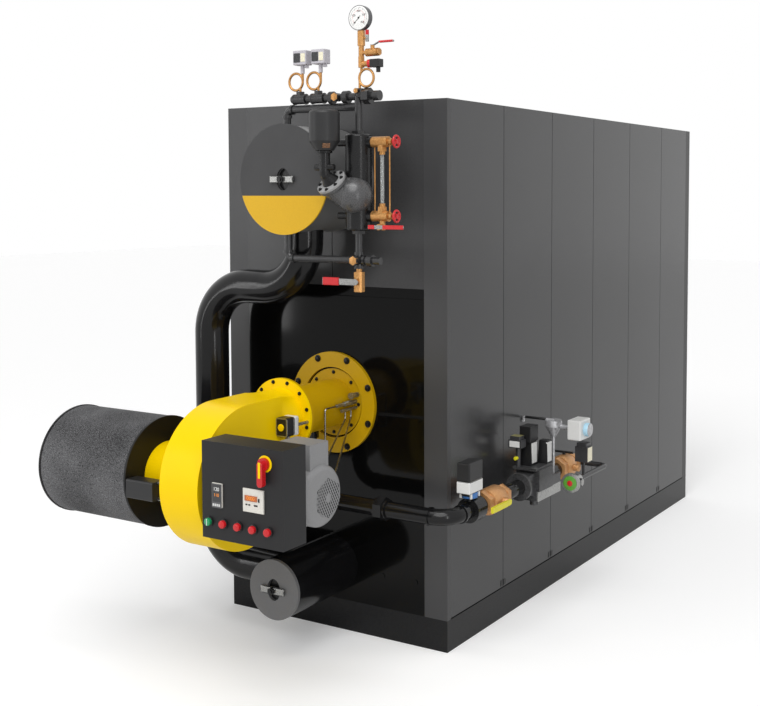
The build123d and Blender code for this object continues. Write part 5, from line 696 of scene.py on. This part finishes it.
def door_figures(name, words, size, across, up, proud, material):
    place = (door_left + across, door_y - proud, door_foot + up)
    figures = lettering(words, size, 0.0003, place)
    figures.name = name
    return fit(figures, material, "panel_door")


bezel = door_slab("small_controller_bezel", (0.0565, 0.1055), (0.1265, 0.2215), 0.0087, 0.0008)
fit(bezel, finish("bezel_grey", "4A4A4C", "58585A", 300, 0.35, 0.04), "panel_door")
face = door_slab("small_controller_face", (0.060, 0.102), (0.150, 0.218), 0.0094, 0.0004)
fit(face, window_black, "panel_door")
side_slot = door_slab("large_controller_slot", (0.2895, 0.2955), (0.176, 0.190), 0.0108, 0.0006)
fit(side_slot, plug_black, "panel_door")
display = door_slab("large_controller_window", (0.224, 0.284), (0.176, 0.197), 0.0110, 0.0006)
fit(display, finish("amber_window", "A8582C", "B8683A", 200, 0.3, 0.02), "panel_door")
amber = finish("amber_digits", "F08A20", "FF9C30", 200, 0.4, 0.01)
door_figures("small_controller_digits", "120", 0.020, 0.081, 0.200, 0.0096, dial_white)
door_figures("small_controller_setpoint", "110", 0.018, 0.081, 0.177, 0.0096, amber)
door_figures("large_controller_digits", "0000", 0.020, 0.254, 0.1865, 0.0112, amber)
key_pitch = 0.010
pale_keys = []
for number in range(4):
    key_left = 0.062 + key_pitch * number
    pale_keys.append(door_slab("key", (key_left, key_left + 0.007), (0.133, 0.143), 0.0105, 0.0008))
fit(joined("small_controller_keys", pale_keys), pale_grey, "panel_door")
dark_keys = []
for across in ((0.227, 0.236), (0.241, 0.250), (0.268, 0.286)):
    dark_keys.append(door_slab("key", across, (0.158, 0.164), 0.0095, 0.0008))
fit(joined("controller_keys", dark_keys), plug_black, "panel_door")

# Push-buttons: a row of five in black plastic bezels, each clamped in the door by a nut behind it.
# The first is a green selector with a white pointer, and the other four are red.
button_count = 5
button_pitch = 0.074
button_z = door_foot + 0.067
bezels, buttons = [], []
for number in range(button_count):
    button_x = door_left + 0.038 + button_pitch * number
    seat = Vector((button_x, door_y, button_z))
    bezels.append(bar("bezel", seat, seat - Vector((0, 0.0062, 0)), 0.0192, 0.0012))
    buttons.append(bar("button", seat - Vector((0, 0.004, 0)), seat - Vector((0, 0.0192, 0)), 0.0152, 0.0028))
fit(joined("button_bezels", bezels), plug_black, "panel_door")
selector = joined("selector_switch", buttons[:1])
fit(selector, finish("green_selector", "0E7A4A", "149058", 300, 0.3, 0.03, coat=0.3), "panel_door")
fit(joined("red_buttons", buttons[1:]), red, "panel_door")
pointer = slab("selector_pointer", (door_left + 0.0368, door_y - 0.0205, door_foot + 0.054),
               (door_left + 0.0392, door_y - 0.0185, door_foot + 0.080), 0.0005)
fit(pointer, dial_white, "panel_door")

# Main disconnect: a red plastic handle on the door, which turns over a yellow plate with its spindle.
# A yellow stripe down the handle shows how it stands.
dress(red, "disconnect_handle")
knob = Vector((0.471, door_y, 1.062))
disconnect_plate = bar("disconnect_plate", knob, knob - Vector((0, 0.0034, 0)), 0.0325, 0.0006, sides=48)
fit(disconnect_plate, yellow, "disconnect_handle")
stripe = slab("disconnect_stripe", (knob.x - 0.0055, knob.y - 0.0367, knob.z - 0.048),
              (knob.x + 0.0055, knob.y - 0.0352, knob.z + 0.012), 0.0006)
fit(stripe, yellow, "disconnect_handle")

# Gas pipe and ball valves: screwed black steel pipe with two bronze ball valves, each with a hexagon at
# either end for the wrench, a domed barrel and a boss for the stem. The first lever has a yellow vinyl grip,
# and a short nipple joins the first valve to the double valve.


def on_pipe(distance):
    return gas + Vector((0, distance, 0))


gas = Vector((0.763, front, 0.682))
dress(pipe_black, "gas_pipes")
bronze = finish("bronze_casting", "B47E4C", "CE9C68", 220, 0.38, 0.12, metallic=0.45)
yellow_grip = finish("yellow_vinyl", "C8C010", "D8D020", 300, 0.35, 0.05)
dress(yellow_grip, "gas_valve_1_handle")
dress(plug_black, "gas_valve_2_handle")
hexagon_radius = 0.059
boss_reach = Vector((0.088, 0, 0))
for name, near, far, stem, far_radius in (("ball_valve_1", 0.078, 0.285, 0.185, 0.053),
                                          ("ball_valve_2", 0.850, 1.040, 0.945, hexagon_radius)):
    valve = joined(name, [
        bar("near_hexagon", on_pipe(near), on_pipe(near + 0.040), hexagon_radius, 0.003, sides=6),
        bar("barrel", on_pipe(near + 0.039), on_pipe(far - 0.052), 0.061, 0.014, sides=64),
        bar("shoulder", on_pipe(far - 0.060), on_pipe(far - 0.030), 0.047, 0.003, sides=48),
        bar("far_hexagon", on_pipe(far - 0.036), on_pipe(far), far_radius, 0.003, sides=6),
        bar("boss", on_pipe(stem), on_pipe(stem) + boss_reach, 0.018, 0.002)])
    fit(valve, bronze)
    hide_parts("gas_ball_valves")
nipple = bar("valve_nipple", on_pipe(0.284), on_pipe(0.4405), 0.0364, 0.0006, sides=48)
fit(nipple, pipe_black)

# Gas vent valve: a polished bowl on a pipe above the valve block, with a white solenoid on its side.
# The solenoid ends in a pale blue cap, and a black stay bar holds the bowl from the casing.
dress(finish("polished_bowl", "9C9C9E", "C4C4C6", 90, 0.18, 0.04, metallic=0.45), "gas_vent_valve")
white_plastic = finish("white_housing", "C8C8C6", "D6D6D4", 300, 0.35, 0.05)
vent_y = front + 0.732
vent_z = 0.932
solenoid = slab("vent_solenoid_housing", (0.9070, vent_y - 0.0588, vent_z - 0.0488),
                (0.9788, vent_y + 0.0588, vent_z + 0.0488), 0.006)
fit(solenoid, white_plastic)
solenoid_cap = bar("vent_solenoid_cap", (0.9780, vent_y, vent_z), (1.0038, vent_y, vent_z), 0.0327, 0.003)
fit(solenoid_cap, finish("pale_blue_cap", "9CC4D8", "ACD0E2", 300, 0.35, 0.05))
stay_z = vent_z + 0.030
stay = bar("stay_bar_sleeve", (0.650, vent_y, stay_z), (0.766, vent_y, stay_z), 0.0066, 0.0005)
fit(stay, plug_black)

# Butterfly valve: a black iron body in the pipe, turned by a motor drive that stands on it.
# The drive has a blue plastic base on four feet, a white housing and a black cap.
dress(cast_black, "gas_butterfly_valve")
blue_plastic = finish("blue_base", "2E5F9A", "3A6EAC", 300, 0.35, 0.05)
housing = slab("butterfly_drive_housing", (gas.x - 0.0338, gas.y - 0.084, gas.z + 0.083),
               (gas.x + 0.0338, gas.y + 0.036, gas.z + 0.137), 0.005)
fit(housing, white_plastic)
drive_cap = slab("butterfly_drive_cap", (gas.x - 0.0332, gas.y - 0.0835, gas.z + 0.1372),
                 (gas.x + 0.0332, gas.y + 0.0355, gas.z + 0.2205), 0.006)
fit(drive_cap, plug_black)
spindle = on_pipe(-0.024)
drive_base = bar("butterfly_drive_base", raised(spindle, 0.058), raised(spindle, 0.083), 0.036, 0.002)
fit(drive_base, blue_plastic)
feet = []
for foot_x in (-0.026, 0.026):
    for foot_y in (-0.034, 0.034):
        under = spindle + Vector((foot_x, foot_y, 0))
        feet.append(bar("foot", raised(under, 0.060), raised(under, 0.086), 0.006, 0.001))
fit(joined("butterfly_drive_feet", feet), white_plastic)

# Pilot gas regulator: a silver casting with a rolled rim and a side port, screwed into the thin black
# pilot line. A green disc with a red button closes its front.


def on_pilot(distance, sideways_reach=0.0):
    return Vector((pilot_x + sideways_reach, front + distance, gas.z))


pilot_x = 0.943
dress(fitting_black, "pilot_gas_line")
silver_casting = finish("silver_casting", "8E8E8C", "B4B4B2", 160, 0.32, 0.2, metallic=0.8)
regulator = [bar("rim", on_pilot(0.6366), on_pilot(0.6536), 0.0476, 0.002, sides=48),
             bar("body", on_pilot(0.6530), on_pilot(0.7156), 0.0346, 0.003),
             bar("port", on_pilot(0.683, 0.030), on_pilot(0.683, 0.0446), 0.0197, 0.002, sides=6)]
fit(joined("regulator_casting", regulator), silver_casting)
disc = bar("regulator_disc", on_pilot(0.6365), on_pilot(0.6312), 0.0347, 0.0006, sides=48)
fit(disc, finish("green_cap", "4E8A2E", "5C9C38", 300, 0.35, 0.04))
button = bar("regulator_button", on_pilot(0.6312), on_pilot(0.6295), 0.014, 0.0005)
fit(button, red)

# Double shut-off valve: one die-cast alloy block with two black actuators on top, each with a pale label.
# A silver cast rail runs along either side of its foot.
block_alloy = finish("alloy_casting", "3A3A3B", "5C5C5D", 140, 0.38, 0.3, metallic=0.5)
dress(block_alloy, "gas_valve_block")
dress(plug_black, "gas_actuators")
rail_thickness = 0.009
rails = []
for rail_x in (gas.x - 0.0635, gas.x + 0.0545):
    rails.append(slab("rail", (rail_x, front + 0.5255, 0.5995),
                      (rail_x + rail_thickness, front + 0.7735, 0.6486), 0.0015))
fit(joined("valve_rails", rails), silver_casting)
labels = [slab("label", (0.7700, front + 0.552, 0.776), (0.7812, front + 0.600, 0.874), 0.0006),
          slab("label", (0.8130, front + 0.634, 0.772), (0.8236, front + 0.676, 0.868), 0.0006)]
fit(joined("actuator_labels", labels), pale_grey)

# Gas pressure switches: moulded dark plastic boxes, screwed to the valve block and the pilot line.
# The low one has a white label, an olive terminal cover and a yellow reset knob, and the pilot's one
# a cream plate on its flank.
dress(finish("switch_housing", "2A2A2C", "3A3A3C", 260, 0.35, 0.1), "gas_pressure_switches")
low_x = 0.723
low_y = front + 0.503
low_label = slab("low_switch_label", (low_x - 0.027, low_y - 0.0287, 0.864),
                 (low_x + 0.027, low_y - 0.0260, 0.893), 0.0008)
fit(low_label, white_plastic)
low_top = slab("low_switch_top", (low_x - 0.0250, low_y - 0.0225, 0.9140),
               (low_x + 0.0250, low_y + 0.0225, 0.9166), 0.0008)
fit(low_top, finish("olive_terminal", "6E6A44", "8C8858", 200, 0.45, 0.05))
reset = Vector((low_x - 0.002, low_y, 0.806))
reset_knob = bar("reset_knob", reset + Vector((0, 0.012, 0)), reset - Vector((0, 0.018, 0)), 0.009, 0.0015)
fit(reset_knob, yellow_grip)
flank = slab("pilot_switch_flank", (pilot_x + 0.0328, front + 0.764, 0.764),
             (pilot_x + 0.0348, front + 0.816, 0.832), 0.0006)
fit(flank, scale_cream)

# Studio floor: a plain pale sheet under the skid that runs out of sight. The camera sees it a little
# brighter than its light alone would make it.
floor_lift = 0.17
bpy.ops.object.select_all(action="DESELECT")
bpy.ops.mesh.primitive_plane_add(size=60, location=(0, 0, -0.0005))
floor = bpy.context.object
floor.name = "studio_floor"
floor_material = bpy.data.materials.new("pale_floor")
floor_material.use_nodes = True
floor_nodes, floor_links = floor_material.node_tree.nodes, floor_material.node_tree.links
floor_shader = floor_nodes["Principled BSDF"]
floor_shader.inputs["Base Color"].default_value = (0.9, 0.9, 0.9, 1)
floor_shader.inputs["Roughness"].default_value = 0.9
floor_shader.inputs["Specular IOR Level"].default_value = 0.1
floor_shader.inputs["Emission Color"].default_value = (1, 1, 1, 1)
seen = floor_nodes.new("ShaderNodeLightPath")
lift = floor_nodes.new("ShaderNodeMath")
lift.operation = "MULTIPLY"
lift.inputs[1].default_value = floor_lift
floor_links.new(seen.outputs["Is Camera Ray"], lift.inputs[0])
floor_links.new(lift.outputs[0], floor_shader.inputs["Emission Strength"])
floor.data.materials.append(floor_material)

# Backdrop: an even white all round, at full strength where the camera, a reflection or the glass sees it,
# and at half strength as light on the boiler.
world = bpy.data.worlds.new("studio")
bpy.context.scene.world = world
world.use_nodes = True
sky_nodes, sky_links = world.node_tree.nodes, world.node_tree.links
sky = sky_nodes["Background"]
sky.inputs["Color"].default_value = (1, 1, 1, 1)
rays = sky_nodes.new("ShaderNodeLightPath")
clear = sky_nodes.new("ShaderNodeMath")
clear.operation = "MAXIMUM"
sky_links.new(rays.outputs["Is Camera Ray"], clear.inputs[0])
sky_links.new(rays.outputs["Is Transmission Ray"], clear.inputs[1])
bright = sky_nodes.new("ShaderNodeMath")
bright.operation = "MAXIMUM"
sky_links.new(clear.outputs[0], bright.inputs[0])
sky_links.new(rays.outputs["Is Glossy Ray"], bright.inputs[1])
level = sky_nodes.new("ShaderNodeMapRange")
level.inputs["To Min"].default_value = 0.5
level.inputs["To Max"].default_value = 1.0
sky_links.new(bright.outputs[0], level.inputs["Value"])
sky_links.new(level.outputs["Result"], sky.inputs["Strength"])

# Lamps: a wide soft sun from the front right, and three strip lamps that draw the long highlights on
# the pipes and drums.
sun_light = bpy.data.lights.new("soft_sun", "SUN")
sun_light.energy = 1.7
sun_light.angle = math.radians(45)
sun = bpy.data.objects.new("soft_sun", sun_light)
sun.rotation_euler = Vector((-0.35, 0.8, -0.9)).to_track_quat("-Z", "Y").to_euler()
bpy.context.collection.objects.link(sun)
for name, place, target, width, height, power in (
        ("left_strip", (-4.5, -6.5, 2.6), (0, -2.0, 1.4), 0.5, 4.0, 40),
        ("top_strip", (0.5, -3.6, 5.6), (0, -2.0, 1.0), 4.0, 0.6, 50),
        ("right_strip", (5.0, -5.0, 1.6), (0, -2.0, 0.8), 0.5, 3.0, 30)):
    strip = bpy.data.lights.new(name, "AREA")
    strip.shape = "RECTANGLE"
    strip.size = width
    strip.size_y = height
    strip.energy = power
    lamp = bpy.data.objects.new(name, strip)
    lamp.location = place
    lamp.rotation_euler = (Vector(target) - Vector(place)).to_track_quat("-Z", "Y").to_euler()
    bpy.context.collection.objects.link(lamp)

# Camera: it stands where the photograph was taken. The lens and the shift come from the picture's width
# and from where the line of sight meets it, in pixels.
picture_width, picture_height = 760, 706
focal_pixels = 1162.84
sight_x, sight_y = 460, 264.95
camera_data = bpy.data.cameras.new("photo_camera")
camera_data.sensor_width = 36
camera_data.lens = focal_pixels / picture_width * camera_data.sensor_width
camera_data.shift_x = -(sight_x - picture_width / 2) / picture_width
camera_data.shift_y = -(picture_height / 2 - sight_y) / picture_width
camera = bpy.data.objects.new("photo_camera", camera_data)
camera.location = (3.2936, front - 4.4163, 2.0729)
camera.rotation_euler = (math.pi / 2 - 0.0601, 0, 0.5312)
bpy.context.collection.objects.link(camera)
bpy.context.scene.camera = camera
bpy.context.scene.view_settings.view_transform = "Standard"
